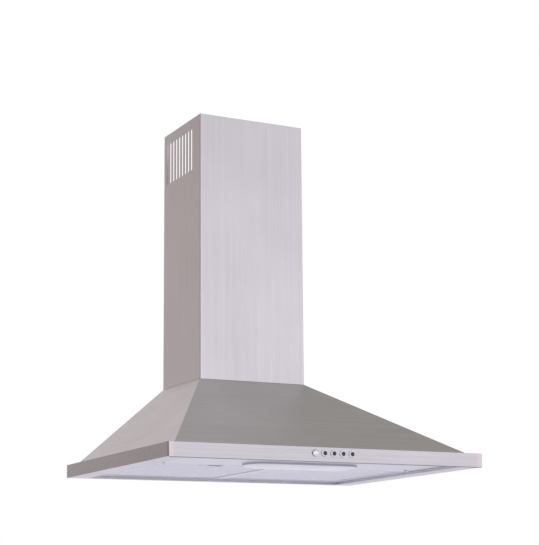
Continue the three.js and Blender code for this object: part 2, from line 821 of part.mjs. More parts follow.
// The bank behind the band: each button has a wide bore for its skirt and one for its stem.
function buildSwitchBody() {
  const halfLength = ((buttonCount - 1) * buttonPitch) / 2 + switchEndMargin;
  const body = block(
    spanAbout(0, halfLength), [switchFront, switchRear], spanAbout(buttonHeight, switchHeight / 2));
  const bores = buttonRow.flatMap((x) => [
    rod(buttonRadius + buttonClearance,
      [switchFront - overcut, skirtEnd + buttonTravel + seatGap], 'y', [x, 0, buttonHeight]),
    rod(buttonStemRadius + buttonClearance,
      [switchFront, stemEnd + buttonTravel + seatGap], 'y', [x, 0, buttonHeight], smallSegments),
  ]);
  addPart('switch_body', without(body, bores), blackPlastic);
}

function buildButton(x, i) {
  const profile = [
    [0, buttonFront],
    [buttonCrownRadius, buttonFront + buttonCrown],
    [buttonRadius, buttonFront + buttonDome],
    [buttonRadius, skirtEnd],
    [buttonStemRadius, skirtEnd],
    [buttonStemRadius, stemEnd],
    [0, stemEnd],
  ];
  addPart(`button_${i + 1}`, turned(profile, 'y', [x, 0, buttonHeight]), chrome);
}

// ---------------------------------------------------------------- blower

const blowerAxis = [0, scrollCentre, scrollCentreHeight];

// A point at a radius and an angle from the wall side, seen along the impeller's axis.
function aroundAxis(radius, angle) {
  return [
    scrollCentre + radius * Math.cos(angle),
    scrollCentreHeight + radius * Math.sin(angle),
  ];
}

// The scroll's growing spiral and the chute above it, moved out by an offset.
function scrollForm(offset, span, top) {
  const tongue = THREE.MathUtils.degToRad(scrollTongueAngle);
  const sweep = 2 * Math.PI - tongue;
  const growth = Math.log(scrollOuterRadius / scrollThroatRadius) / sweep;
  const spiral = Array.from({ length: scrollFacets + 1 }, (_, i) => {
    const turn = (sweep * i) / scrollFacets;
    return aroundAxis(scrollThroatRadius * Math.exp(growth * turn) + offset, tongue + turn);
  });
  const front = ductCentre - collarRadius - seatGap - offset;
  const rear = scrollOutletRear + offset;
  const chute = [
    [rear, scrollCentreHeight],
    [rear, top],
    [front, top],
    [front, scrollTop - scrollNeck],
    spiral[0],
    [scrollCentre, scrollCentreHeight],
  ];
  return prism(polygon(spiral), span, 'x').add(prism(polygon(chute), span, 'x'));
}

// Half of the housing: side plate with a round hole, wrapper, seam flange and top flange.
function buildScroll(label, side) {
  const seam = seatGap / 2;
  const inside = scrollHalfWidth - scrollWall;
  const shell = scrollForm(scrollWall, spanX(side, seam, scrollHalfWidth), scrollTop);
  const seamFlange = scrollForm(
    scrollWall + scrollSeam, spanX(side, seam, scrollWall), scrollTop);
  const topFlange = block(
    spanX(side, seam, scrollHalfWidth + scrollWall),
    spanAbout(ductCentre, collarRadius + collarPlateMargin), [scrollTop - scrollWall, scrollTop]);
  const hollow = scrollForm(0, spanX(side, -overcut, inside), scrollTop + overcut);
  const hole = rod(
    inletRadius + inletRingWidth + seatGap,
    spanX(side, inside - overcut, scrollHalfWidth + overcut), 'x', blowerAxis, inletSegments);
  const housing = joined([shell, seamFlange, topFlange]);
  addPart(`scroll_${label}`, without(housing, [hollow, hole]), greyPlastic);
}

// A bell mouth let into the side plate, held by a lap behind it.
function buildInletRing(label, side) {
  const inside = scrollHalfWidth - scrollWall;
  const rim = inletRadius + inletRingWidth;
  const lapEnd = inside - seatGap;
  const lapStart = lapEnd - inletRingWall;
  const section = [
    [inletRadius, inside - inletLip],
    [inletRadius + inletRingWall, inside - inletLip],
    [inletRadius + inletRingWall, lapStart],
    [rim + inletRingLap, lapStart],
    [rim + inletRingLap, lapEnd],
    [rim, lapEnd],
    [rim, scrollHalfWidth],
    [inletRadius + inletRingWall, scrollHalfWidth],
    [inletRadius, scrollHalfWidth - inletRingWall],
    [inletRadius, inside - inletLip],
  ];
  const profile = section.map(([radius, along]) => [radius, side * along]);
  addPart(`inlet_ring_${label}`, turned(profile, 'x', blowerAxis, inletSegments), greyPlastic);
}

// One forward-curved blade: its sweep grows with the square of the way out.
function bladeShape(start) {
  const steps = [0, 0.5, 1];
  const sweep = THREE.MathUtils.degToRad(bladeSweep);
  const edge = (offset) => steps.map((step) => {
    const radius = impellerInnerRadius + step * (impellerRadius - impellerInnerRadius);
    return aroundAxis(radius, start + sweep * step ** 2 + offset / radius);
  });
  return polygon([...edge(-bladeThickness / 2), ...edge(bladeThickness / 2).reverse()]);
}

// A double-inlet drum: blades through a middle disc on a hub, tied by a ring at each end.
function buildImpeller() {
  const bore = shaftRadius + seatGap;
  const span = spanAbout(0, impellerHalfWidth - impellerRing / 2);
  const blades = Array.from({ length: bladeCount }, (_, i) => {
    return prism(bladeShape((2 * Math.PI * i) / bladeCount), span, 'x');
  });
  const rings = sides.map(([, side]) => tubeRing(
    impellerInnerRadius - impellerRingLap, impellerRadius + impellerRingLap,
    spanX(side, impellerHalfWidth - impellerRing, impellerHalfWidth),
    'x', blowerAxis, bladeCount));
  const disc = tubeRing(
    bore, impellerInnerRadius + impellerRingLap, spanAbout(0, hubDisc / 2),
    'x', blowerAxis, bladeCount);
  const hub = tubeRing(bore, hubRadius, [-hubLength, motorStart / 2], 'x', blowerAxis);
  addPart('impeller', joined([disc, hub, ...rings, ...blades]), blackPlastic);
}

function buildShaft() {
  const nutStart = -hubLength - seatGap - nutThickness;
  const span = [nutStart - shaftOverhang, motorEnd - shaftOverhang];
  addPart('impeller_shaft', rod(shaftRadius, span, 'x', blowerAxis), steel);
  const hexagon = rod(nutRadius, [nutStart, nutStart + nutThickness], 'x', blowerAxis, 6);
  const thread = rod(shaftRadius + seatGap, span, 'x', blowerAxis);
  addPart('hub_nut', hexagon.subtract(thread), steel);
}

// The motor can sits inside the drum's right half, with a bearing let into each end.
function buildMotor() {
  const bore = shaftRadius + looseGap;
  const pocket = bearingRadius + seatGap;
  const pocketDepth = bearingLength + seatGap;
  const can = [
    [bore, motorStart + pocketDepth],
    [pocket, motorStart + pocketDepth],
    [pocket, motorStart],
    [motorRadius - motorChamfer, motorStart],
    [motorRadius, motorStart + motorChamfer],
    [motorRadius, motorEnd - motorChamfer],
    [motorRadius - motorChamfer, motorEnd],
    [pocket, motorEnd],
    [pocket, motorEnd - pocketDepth],
    [bore, motorEnd - pocketDepth],
    [bore, motorStart + pocketDepth],
  ];
  addPart('motor', turned(can, 'x', blowerAxis), steel);
  const seats = { inner: motorStart, outer: motorEnd - bearingLength };
  Object.entries(seats).forEach(([name, start]) => {
    const bearing = tubeRing(
      shaftRadius + seatGap, bearingRadius, [start, start + bearingLength], 'x', blowerAxis);
    addPart(`bearing_${name}`, bearing, bronze);
  });
}

// A ring on the motor's end, with three arms that reach over the right side plate.
function buildMotorBracket() {
  const start = motorEnd + seatGap;
  const span = [start, start + motorBracketSheet];
  const rim = motorRadius - motorBracketRim;
  const ring = tubeRing(bearingRadius + motorBracketRim, rim, span, 'x', blowerAxis);
  const arms = [90, 210, 330].map((degrees) => {
    const turn = THREE.MathUtils.degToRad(degrees);
    const half = motorArmWidth / 2;
    const root = rim - motorBracketRim;
    const corners = [
      [root, -half], [motorBracketReach, -half], [motorBracketReach, half], [root, half]];
    return prism(polygon(corners.map(([out, across]) => {
      return aroundAxis(Math.hypot(out, across), turn + Math.atan2(across, out));
    })), span, 'x');
  });
  addPart('motor_bracket', joined([ring, ...arms]), galvanised);
}

// An angle from the back panel along the scroll's side plate, with a lightening hole.
function buildBlowerBracket(label, side) {
  const near = scrollHalfWidth + seatGap;
  const front = scrollOutletRear - blowerBracketLap;
  const height = [blowerBracketBottom, blowerBracketTop];
  const web = block(spanX(side, near, near + bracketSheet), [front, panelSeat], height);
  const foot = block(
    spanX(side, near, near + blowerBracketFoot), [panelSeat - bracketSheet, panelSeat], height);
  const hole = rod(
    blowerBracketHole, spanX(side, near - overcut, near + bracketSheet + overcut), 'x',
    [0, (front + panelSeat) / 2, (blowerBracketBottom + blowerBracketTop) / 2]);
  addPart(`blower_bracket_${label}`, web.add(foot).subtract(hole), galvanised);
}

// ---------------------------------------------------------------- outlet

const collarPlateTop = collarBase + collarWall;
const collarTop = collarPlateTop + collarHeight;
const flapAxisHeight = collarPlateTop + flapPinHeight;
const collarBore = collarRadius - collarWall;
const ductAxis = [0, ductCentre, 0];

// A flange on the scroll and a round spigot, with a ledge that the closed flaps lie on.
function buildCollar() {
  const plateHalf = collarRadius + collarPlateMargin;
  const plate = block(
    spanAbout(0, plateHalf), spanAbout(ductCentre, plateHalf), [collarBase, collarPlateTop]);
  const spigot = rod(collarRadius, [collarBase, collarTop], 'z', ductAxis, fineSegments);
  const bore = rod(
    collarBore, [collarBase - overcut, collarTop + overcut], 'z', ductAxis, fineSegments);
  const stopTop = flapAxisHeight - flapThickness / 2 - seatGap;
  const stop = tubeRing(
    collarBore - flapStopWidth, collarBore + collarWall / 2, [stopTop - collarWall, stopTop],
    'z', ductAxis, fineSegments);
  const pinHole = rod(
    flapPinRadius + seatGap, spanAbout(0, collarRadius + overcut), 'x',
    [0, ductCentre, flapAxisHeight], smallSegments);
  const body = plate.add(spigot).subtract(bore).add(stop).subtract(pinHole);
  addPart('outlet_collar', body, greyPlastic);
  const pin = rod(
    flapPinRadius, spanAbout(0, collarRadius - seatGap), 'x',
    [0, ductCentre, flapAxisHeight], smallSegments);
  addPart('flap_pin', pin, steel);
}

// A half disc on two knuckles; the knuckles of the two flaps take turns along the pin.
function buildFlap(label, side) {
  const thickness = spanAbout(flapAxisHeight, flapThickness / 2);
  const edge = knuckleRadius + flapClearance / 2;
  const disc = rod(collarBore - flapClearance, thickness, 'z', ductAxis, fineSegments);
  const ownHalf = side < 0
    ? [ductCentre - collarRadius, ductCentre - edge]
    : [ductCentre + edge, ductCentre + collarRadius];
  const half = disc.intersect(block(spanAbout(0, collarRadius), ownHalf, thickness));
  const pitch = knuckleLength + flapClearance;
  const starts = knucklePlaces[label].map((place) => place * pitch + flapClearance / 2);
  const pinCentre = [0, ductCentre, flapAxisHeight];
  const bore = rod(flapPinRadius + seatGap, spanAbout(0, collarRadius), 'x', pinCentre, smallSegments);
  const knuckles = starts.map((start) => {
    const span = [start, start + knuckleLength];
    const barrel = rod(knuckleRadius, span, 'x', pinCentre, smallSegments);
    const web = block(span, side < 0
      ? [ductCentre - edge - flapClearance, ductCentre]
      : [ductCentre, ductCentre + edge + flapClearance], thickness);
    return barrel.add(web);
  });
  addPart(`flap_${label}`, joined([half, ...knuckles]).subtract(bore), aluminium);
}

// ---------------------------------------------------------------- electrical pieces

const terminalFront = panelSeat - terminalDepth;
const terminalTop = terminalBottom + terminalHeight;
const leadCentre = panelSeat - terminalDepth / 2;
const leadStart = terminalBottom + terminalWall + leadRadius;
const motorLeadX = terminalCentre - terminalWidth / 4;
const switchLeadX = terminalCentre + terminalWidth / 4;

// A box on the back panel, open in front, with a gland on top and two lead holes below.
function buildTerminalBox() {
  const outer = block(
    spanAbout(terminalCentre, terminalWidth / 2), [terminalFront, panelSeat],
    [terminalBottom, terminalTop]);
  const inner = block(
    spanAbout(terminalCentre, terminalWidth / 2 - terminalWall),
    [terminalFront - overcut, panelSeat - terminalWall],
    [terminalBottom + terminalWall, terminalTop - terminalWall]);
  const leadHoles = [motorLeadX, switchLeadX].map((x) => rod(
    leadRadius + looseGap, [terminalBottom - overcut, terminalBottom + terminalWall + overcut],
    'z', [x, leadCentre, 0], smallSegments));
  const glandHole = rod(
    glandNeckRadius + seatGap, [terminalTop - terminalWall - overcut, terminalTop + overcut],
    'z', [terminalCentre, leadCentre, 0]);
  addPart('terminal_box', without(outer, [inner, ...leadHoles, glandHole]), blackPlastic);
  const lidBack = terminalFront - seatGap;
  const lid = block(
    spanAbout(terminalCentre, terminalWidth / 2), [lidBack - terminalLidThickness, lidBack],
    [terminalBottom, terminalTop]);
  const spigot = block(
    spanAbout(terminalCentre, terminalWidth / 2 - terminalWall - seatGap),
    [lidBack - terminalLidThickness, lidBack + terminalWall],
    [terminalBottom + terminalWall + seatGap, terminalTop - terminalWall - seatGap]);
  addPart('terminal_lid', lid.add(spigot), blackPlastic);
}

function buildGland() {
  const foot = terminalTop - terminalWall;
  const seat = terminalTop + seatGap;
  const end = seat + glandLength;
  const bore = leadRadius + looseGap;
  const profile = [
    [bore, foot],
    [glandNeckRadius, foot],
    [glandNeckRadius, seat],
    [glandRadius, seat],
    [glandRadius, end - glandTaper],
    [glandTipRadius, end],
    [bore, end],
    [bore, foot],
  ];
  addPart('cable_gland', turned(profile, 'z', [terminalCentre, leadCentre, 0]), blackPlastic);
}

// A round capacitor held upright against the back panel by a spring clip.
function buildCapacitor() {
  const clipInner = capacitorRadius + seatGap;
  const clipOuter = clipInner + bracketSheet;
  const centre = [-terminalCentre, panelSeat - clipOuter, 0];
  const top = capacitorBottom + capacitorLength;
  const profile = [
    [0, capacitorBottom],
    [capacitorRadius, capacitorBottom],
    [capacitorRadius, top - capacitorChamfer],
    [capacitorRadius - capacitorChamfer, top],
    [0, top],
  ];
  addPart('capacitor', turned(profile, 'z', centre), whitePlastic);
  const middle = (capacitorBottom + top) / 2;
  const ring = rod(clipOuter, spanAbout(middle, clipHeight / 2), 'z', centre);
  const plate = block(
    spanAbout(-terminalCentre, capacitorRadius), [panelSeat - bracketSheet, panelSeat],
    spanAbout(middle, clipPlateHeight / 2));
  const bore = rod(clipInner, spanAbout(middle, clipPlateHeight), 'z', centre);
  const clipMouth = block(
    spanAbout(-terminalCentre, capacitorRadius / 2), [centre[1] - clipOuter - overcut, centre[1]],
    spanAbout(middle, clipPlateHeight));
  addPart('capacitor_clip', without(ring.add(plate), [bore, clipMouth]), galvanised);
}

// A round lead swept along a smooth curve through the given points.
function addLead(name, points, steps) {
  const path = new THREE.CatmullRomCurve3(points.map((point) => new THREE.Vector3(...point)));
  const section = polygon(Array.from({ length: leadSides }, (_, i) => {
    const angle = (2 * Math.PI * i) / leadSides;
    return [leadRadius * Math.cos(angle), leadRadius * Math.sin(angle)];
  }));
  const geometry = new THREE.ExtrudeGeometry(section, { steps, extrudePath: path });
  addPart(name, toSolid(geometry), cableJacket);
}

// Points between a start and an end. Each stop gives its shares of the way across, forward
// and down from one to the other.
function leadRoute(start, end, stops) {
  return stops.map((stop) => stop.map((share, i) => start[i] + share * (end[i] - start[i])));
}

// From the terminal box down the scroll's side to the ring on the motor's end.
function buildMotorLead() {
  const across = scrollCentre + (bearingRadius + motorRadius) / 2;
  const start = [motorLeadX, leadCentre, leadStart];
  const face = motorEnd + seatGap + motorBracketSheet + seatGap;
  const end = [face, across, scrollCentreHeight];
  addLead('motor_lead', leadRoute(start, end, [
    [0, 0, 0],
    [0, 0, 0.05],
    [-0.12, 0.03, 0.14],
    [-0.38, 0.1, 0.28],
    [-0.5, 0.28, 0.49],
    [-0.5, 0.54, 0.69],
    [-0.5, 0.78, 0.85],
    [-0.5, 0.96, 0.955],
    [0.4, 1, 1],
    [1, 1, 1],
  ]), motorLeadSteps);
}

// From the terminal box down inside the canopy and over the light panel to the switch.
function buildSwitchLead() {
  const start = [switchLeadX, leadCentre, leadStart];
  const panel = [terminalCentre * 2, switchRear, panelTop + leadRadius + seatGap];
  const plug = [buttonRow.at(-1), switchRear + seatGap, buttonHeight];
  addLead('switch_lead', [
    ...leadRoute(start, panel, [
      [0, 0, 0],
      [0, 0, 0.025],
      [0, 0.005, 0.076],
      [0.03, 0.023, 0.184],
      [0.07, 0.055, 0.318],
      [0.28, 0.115, 0.477],
      [0.59, 0.207, 0.644],
      [0.85, 0.344, 0.79],
      [0.93, 0.505, 0.887],
      [0.93, 0.674, 0.946],
      [0.9, 0.743, 0.985],
      [0.85, 0.824, 0.99],
      [0.5, 0.88, 0.99],
      [0, 0.93, 0.99],
    ]),
    ...leadRoute(start, plug, [
      [0.6, 0.96, 0.99],
      [1, 0.98, 1],
      [1, 0.993, 1],
      [1, 1, 1],
    ]),
  ], switchLeadSteps);
}

// ---------------------------------------------------------------- put together

buildRimBand();
buildPyramid();
buildBackPanel();
buildChimney();
sides.forEach(([label, side]) => buildFootBracket(label, side));
buildCeilingBracket();

buildLightPanel();
buildLampBox();
buildLens();
sides.forEach(([label, side]) => buildLamp(label, side));

sides.forEach(([label, side]) => {
  buildFilterFrame(label, side);
  buildFilterMesh(label, side);
  buildFilterLatch(label, side);
});
buildFilterRail();
buildCentreBar();

buildSwitchBody();
buttonRow.forEach(buildButton);

sides.forEach(([label, side]) => {
  buildScroll(label, side);
  buildInletRing(label, side);
  buildBlowerBracket(label, side);
});
buildImpeller();
buildShaft();
buildMotor();
buildMotorBracket();
buildCollar();
[['front', -1], ['rear', 1]].forEach(([label, side]) => buildFlap(label, side));

buildTerminalBox();
buildGland();
buildCapacitor();
buildMotorLead();
buildSwitchLead();

export default hood;
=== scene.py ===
"""Finish, small pieces, light and camera for the chimney range hood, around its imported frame."""
import math

import bmesh
import bpy
from mathutils import Matrix, Vector


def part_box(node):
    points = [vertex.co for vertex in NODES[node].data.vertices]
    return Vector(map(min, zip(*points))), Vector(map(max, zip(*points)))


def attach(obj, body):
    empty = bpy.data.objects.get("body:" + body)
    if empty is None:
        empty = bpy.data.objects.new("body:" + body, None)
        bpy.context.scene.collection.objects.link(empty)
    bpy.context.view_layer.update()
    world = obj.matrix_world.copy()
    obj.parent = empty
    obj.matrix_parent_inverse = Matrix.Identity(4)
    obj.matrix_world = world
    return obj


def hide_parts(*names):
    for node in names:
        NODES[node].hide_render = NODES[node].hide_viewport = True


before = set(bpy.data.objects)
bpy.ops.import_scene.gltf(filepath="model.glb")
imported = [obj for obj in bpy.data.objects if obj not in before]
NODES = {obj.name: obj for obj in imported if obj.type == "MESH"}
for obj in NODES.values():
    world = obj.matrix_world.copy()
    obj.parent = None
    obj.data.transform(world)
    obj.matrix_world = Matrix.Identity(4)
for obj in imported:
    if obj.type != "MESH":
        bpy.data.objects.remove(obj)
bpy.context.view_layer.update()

MM = 0.001


# ---------------------------------------------------------------- places read from the frame

def low(node):
    return Vector(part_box(node)[0])


def high(node):
    return Vector(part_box(node)[1])


def middle(node):
    return (low(node) + high(node)) / 2


RIM_BOTTOM = low("rim_band").z
RIM_FRONT = low("rim_band").y
SIDES = (("left", -1), ("right", 1))
UP, DOWN, FORWARD = (0, 0, 1), (0, 0, -1), (0, -1, 0)


# ---------------------------------------------------------------- materials

X_AXIS, Y_AXIS, Z_AXIS = (1, 0, 0), (0, 1, 0), (0, 0, 1)
# The colour mix node has a set of sockets for each type of data; these are the colour ones
MIX_FIRST, MIX_SECOND, MIX_RESULT = 6, 7, 2
# Cosines of a face's angle to an axis: up to the first it doesn't count as looking along the
# axis, from the second on it fully does
FACING_COSINES = (0.3, 0.45)


def add_node(tree, kind, inputs=(), **settings):
    """Adds a node, sets its properties, and sets or links its inputs by name or number."""
    made = tree.nodes.new(kind)
    for key, value in settings.items():
        setattr(made, key, value)
    for key, value in dict(inputs).items():
        if isinstance(value, bpy.types.NodeSocket):
            tree.links.new(value, made.inputs[key])
        else:
            made.inputs[key].default_value = value
    return made


class Shader:
    """A node material under construction: a principled shader and helpers that feed it."""

    def __init__(self, name, color, roughness, metallic=0.0, **sockets):
        self.material = bpy.data.materials.new(name)
        self.material.use_nodes = True
        self.tree = self.material.node_tree
        self.principled = self.tree.nodes["Principled BSDF"]
        self.put("Base Color", (*color, 1.0))
        self.put("Roughness", roughness)
        self.put("Metallic", metallic)
        for socket, value in sockets.items():
            self.put(socket.replace("_", " "), value)

    def put(self, socket, value):
        self.principled.inputs[socket].default_value = value

    def feed(self, output, socket):
        self.tree.links.new(output, self.principled.inputs[socket])

    def node(self, kind, inputs=(), **settings):
        return add_node(self.tree, kind, inputs, **settings)

    def noise(self, scale, stretch=(1, 1, 1), detail=3.0, roughness=0.5):
        """Noise in the object's own space, scale in features per metre, squeezed along the axes."""
        place = self.node("ShaderNodeTexCoord").outputs["Object"]
        mapped = self.node("ShaderNodeMapping", {"Vector": place, "Scale": stretch})
        texture = self.node("ShaderNodeTexNoise", {
            "Vector": mapped.outputs["Vector"], "Scale": scale,
            "Detail": detail, "Roughness": roughness})
        return texture.outputs["Fac"]

    def remap(self, value, to_min, to_max, from_min=0.3, from_max=0.7):
        """Maps one range to another; noise mostly stays in the range given here as default."""
        made = self.node("ShaderNodeMapRange", {
            "Value": value, "From Min": from_min, "From Max": from_max,
            "To Min": to_min, "To Max": to_max})
        return made.outputs["Result"]

    def tint(self, value, first, second):
        """Blends two colours by a value from 0 to 1."""
        made = self.node("ShaderNodeMix", {
            "Factor": value, MIX_FIRST: (*first, 1.0), MIX_SECOND: (*second, 1.0)},
            data_type="RGBA")
        return made.outputs[MIX_RESULT]

    def looking_along(self, axis, either_way=True):
        """1 on faces that look along an axis, or against it too, and 0 on the rest."""
        normal = self.node("ShaderNodeTexCoord").outputs["Normal"]
        if either_way:
            normal = self.node(
                "ShaderNodeVectorMath", {0: normal}, operation="ABSOLUTE").outputs[0]
        share = self.node("ShaderNodeVectorMath", {0: normal, 1: axis}, operation="DOT_PRODUCT")
        return self.remap(share.outputs["Value"], 0.0, 1.0, *FACING_COSINES)

    def further_out(self, axis, start, stop):
        """Rises from 0 to 1 between two distances from the middle plane across an axis."""
        place = self.node("ShaderNodeTexCoord").outputs["Object"]
        size = self.node("ShaderNodeVectorMath", {0: place}, operation="ABSOLUTE")
        share = self.node("ShaderNodeVectorMath", {0: size.outputs[0], 1: axis},
                          operation="DOT_PRODUCT")
        return self.remap(share.outputs["Value"], 0.0, 1.0, start, stop)

    def both(self, first, second):
        return self.node("ShaderNodeMath", {0: first, 1: second}, operation="MULTIPLY").outputs[0]

    def toned(self, shade, mask, painted_tone):
        """Multiplies a colour by a tone where the mask is 1; used to paint light and shade."""
        made = self.node("ShaderNodeMix", {
            "Factor": mask, MIX_FIRST: shade, MIX_SECOND: (*painted_tone, 1.0)},
            data_type="RGBA", blend_type="MULTIPLY")
        return made.outputs[MIX_RESULT]

    def bump(self, height, distance, strength):
        return self.node("ShaderNodeBump", {
            "Height": height, "Distance": distance, "Strength": strength}).outputs["Normal"]


def scaled(color, factor):
    return tuple(channel * factor for channel in color)


CLOUD_SCALE = 7.0        # wide variation over a sheet, in features per metre
MOTTLE_SCALE = 420.0
PLASTIC_CLOUD_SCALE = 18.0
BAND_SHARE = 0.3          # features of the wide bands of a brushed grain, per feature of the grain
# Where the sum of two noises mostly stays
SUM_RANGE = (0.7, 1.3)
# For each kind of surface: how far its roughness swings down and up, its darkest and lightest
# shade as shares of its colour, and the depth and strength of its relief. The depth of a
# brushed grain is given with each metal.
GRAIN_SWING, GRAIN_SHADES, GRAIN_STRENGTH = (-0.05, 0.06), (0.955, 1.04), 0.35
ZINC_SWING, ZINC_SHADES, ZINC_RELIEF = (-0.08, 0.1), (0.86, 1.1), (0.03 * MM, 0.3)
PORE_SWING, PORE_SHADES, PORE_RELIEF = (-0.06, 0.08), (0.94, 1.05), (0.02 * MM, 0.4)
ZINC_METALLIC = 0.75
ZINC_CELL = 0.9           # distance from the middle of a crystal at which it is lightest


def swung(roughness, swing):
    return [roughness + change for change in swing]


def shades(color, shares):
    return [scaled(color, share) for share in shares]


def brushed_metal(name, color, roughness, stretch, grain=900.0, depth=0.02, painted_tones=()):
    """Sheet with a fine brushed grain: streaks lie along the axes with the smallest stretch.

    grain is in features per metre and depth in millimetres. The last argument is a list of
    (mask, tone): mask is called with the shader, and where it gives 1 the colour is multiplied
    by the tone. This paints light and shade: painted shade or painted highlight on faces by the
    way they face, and painted highlight strips at the front corners.
    """
    shader = Shader(name, color, roughness, 1.0)
    streaks = shader.noise(grain, stretch, detail=4.0, roughness=0.6)
    cloud = shader.noise(CLOUD_SCALE, detail=2.0)
    bands = shader.noise(grain * BAND_SHARE, stretch, detail=2.0)
    shader.feed(shader.remap(streaks, *swung(roughness, GRAIN_SWING)), "Roughness")
    blend = shader.node("ShaderNodeMath", {0: cloud, 1: bands}, operation="ADD").outputs[0]
    shade = shader.tint(shader.remap(blend, 0.0, 1.0, *SUM_RANGE), *shades(color, GRAIN_SHADES))
    # Painted light and shade: each mask multiplies the grain's colour by its tone
    for mask, painted_tone in painted_tones:
        shade = shader.toned(shade, mask(shader), painted_tone)
    shader.feed(shade, "Base Color")
    shader.feed(shader.bump(streaks, depth * MM, GRAIN_STRENGTH), "Normal")
    return shader.material


def looks(axis):
    """Faces that look along an axis or against it."""
    return lambda shader: shader.looking_along(axis)


def looks_up(shader):
    return shader.looking_along(Z_AXIS, either_way=False)


# Bands of painted light: the depth of the painted shade on the outer sides, and how the painted
# highlight strips at the front corners fade
OUTER_SIDE_DEPTH = 3 * MM
CORNER_HIGHLIGHT_FADE = 0.6   # where the strip is full, as a share of its width from the corner


def outer_side(node):
    """The outermost faces at the two sides of a node, as a mask for painted shade."""
    half = high(node).x
    return lambda shader: shader.both(
        shader.looking_along(X_AXIS),
        shader.further_out(X_AXIS, half - OUTER_SIDE_DEPTH, half - OUTER_SIDE_DEPTH / 2))


def corner_highlight_strip(node, width):
    """The upright strips at the two front corners, where a painted highlight stands for the light
    on a rolled corner.
    """
    half = high(node).x
    return lambda shader: shader.both(
        shader.looking_along(Y_AXIS),
        shader.further_out(X_AXIS, half - width, half - width * CORNER_HIGHLIGHT_FADE))


def dull_metal(name, color, roughness, spangle=160.0):
    """Zinc-coated or plain metal with a mottled crystal pattern."""
    shader = Shader(name, color, roughness, ZINC_METALLIC)
    place = shader.node("ShaderNodeTexCoord").outputs["Object"]
    cells = shader.node("ShaderNodeTexVoronoi", {"Vector": place, "Scale": spangle})
    fleck = shader.remap(cells.outputs["Distance"], 0.0, 1.0, 0.0, ZINC_CELL)
    shader.feed(shader.tint(fleck, *shades(color, ZINC_SHADES)), "Base Color")
    shader.feed(shader.remap(fleck, *swung(roughness, ZINC_SWING), 0, 1), "Roughness")
    shader.feed(shader.bump(shader.noise(MOTTLE_SCALE), *ZINC_RELIEF), "Normal")
    return shader.material


def moulded_plastic(name, color, roughness, texture=1400.0, **sockets):
    """Plastic or glass with fine pores, texture in features per metre, and a faint cloud."""
    shader = Shader(name, color, roughness, **sockets)
    pores = shader.noise(texture, detail=4.0)
    cloud = shader.noise(PLASTIC_CLOUD_SCALE, detail=2.0)
    shader.feed(shader.remap(pores, *swung(roughness, PORE_SWING)), "Roughness")
    shader.feed(shader.tint(cloud, *shades(color, PORE_SHADES)), "Base Color")
    shader.feed(shader.bump(pores, *PORE_RELIEF), "Normal")
    return shader.material


STAINLESS = (0.70, 0.680, 0.690)
MATERIALS = {
    "upright": brushed_metal(
        "stainless_upright_grain_painted_light", STAINLESS, 0.32, (1, 1, 0.012),
        # Painted shade on the chimney's sides, and a painted highlight strip at its front corners
        painted_tones=[(looks(X_AXIS), (0.95, 0.91, 0.90)),
               (corner_highlight_strip("chimney_cover", 5 * MM), (1.07, 1.00, 1.03))]),
    "rim": brushed_metal(
        "stainless_rim_grain_painted_light", scaled(STAINLESS, 0.88), 0.26, (0.008, 0.008, 1),
        # Painted shade on the rim's outer sides, painted highlight strips at its front corners, and
        # painted light on its faces that look down and, more, up
        painted_tones=[(outer_side("rim_band"), (0.69, 0.66, 0.65)),
               (corner_highlight_strip("rim_band", 12 * MM), (1.17, 1.06, 1.04)),
               (looks(Z_AXIS), (1.14, 1.09, 1.14)),
               (looks_up, (1.22, 1.26, 1.20))]),
    "canopy": brushed_metal(
        "stainless_canopy_grain_painted_shade", scaled(STAINLESS, 1.21), 0.46, (0.012, 0.012, 1),
        # Painted shade on the canopy's front and rear slopes
        painted_tones=[(looks(Y_AXIS), (0.87, 0.885, 0.855))]),
    "panel": brushed_metal("stainless_panel_grain", (0.79, 0.775, 0.83), 0.36, (0.03, 1, 1)),
    "galvanised": dull_metal("galvanised_sheet", (0.60, 0.62, 0.64), 0.45),
    "aluminium": brushed_metal("aluminium_satin", (0.78, 0.78, 0.82), 0.38, (1, 0.05, 1), 600.0),
    "mesh": dull_metal("aluminium_mesh", (0.93, 0.92, 0.97), 0.40, 300.0),
    "chrome": brushed_metal("chrome_polished", (0.86, 0.87, 0.89), 0.09, (1, 1, 1), 300.0, 0.002),
    "steel": dull_metal("plain_steel", (0.45, 0.46, 0.48), 0.38, 220.0),
    "bronze": dull_metal("sintered_bronze", (0.55, 0.40, 0.22), 0.45, 900.0),
    "black": moulded_plastic("black_plastic", (0.022, 0.023, 0.026), 0.48),
    "wheel": moulded_plastic("wheel_plastic", (0.075, 0.077, 0.082), 0.34),
    "grey": moulded_plastic("grey_plastic", (0.20, 0.21, 0.23), 0.5),
    "latch": moulded_plastic("latch_plastic", (0.66, 0.66, 0.70), 0.4),
    "white": moulded_plastic("white_plastic", (0.78, 0.78, 0.75), 0.38),
    "lens": moulded_plastic(
        "lens_frosted", (0.86, 0.845, 0.89), 0.16, 700.0, Coat_Weight=0.6),
    "key": moulded_plastic(
        "key_black_gloss", (0.010, 0.010, 0.014), 0.12, 900.0,
        Coat_Weight=0.5, Coat_Roughness=0.05),
    # A grey gasket round the lens; its darkness is also painted shade for the lens's shaded front
    # wall
    "gasket": moulded_plastic("gasket_grey_painted_shade", (0.44, 0.43, 0.49), 0.45),
    "pearl": moulded_plastic("pearl_silver", (0.80, 0.79, 0.84), 0.28, 900.0, Coat_Weight=0.5),
    # Painted shadow: the hem's near-black stands in for the shade along the rim's lower front edge
    "painted_shadow_hem": brushed_metal("hem_painted_shadow", (0.30, 0.29, 0.31), 0.4, (0.03, 1, 1)),
    "nickel": dull_metal("nickel_plate", (0.62, 0.60, 0.56), 0.28, 500.0),
    "bulb": moulded_plastic("bulb_opal", (0.86, 0.84, 0.78), 0.16, 300.0, Coat_Weight=0.6),
    "cable": moulded_plastic("cable_jacket", (0.03, 0.03, 0.034), 0.5, 2000.0),
}

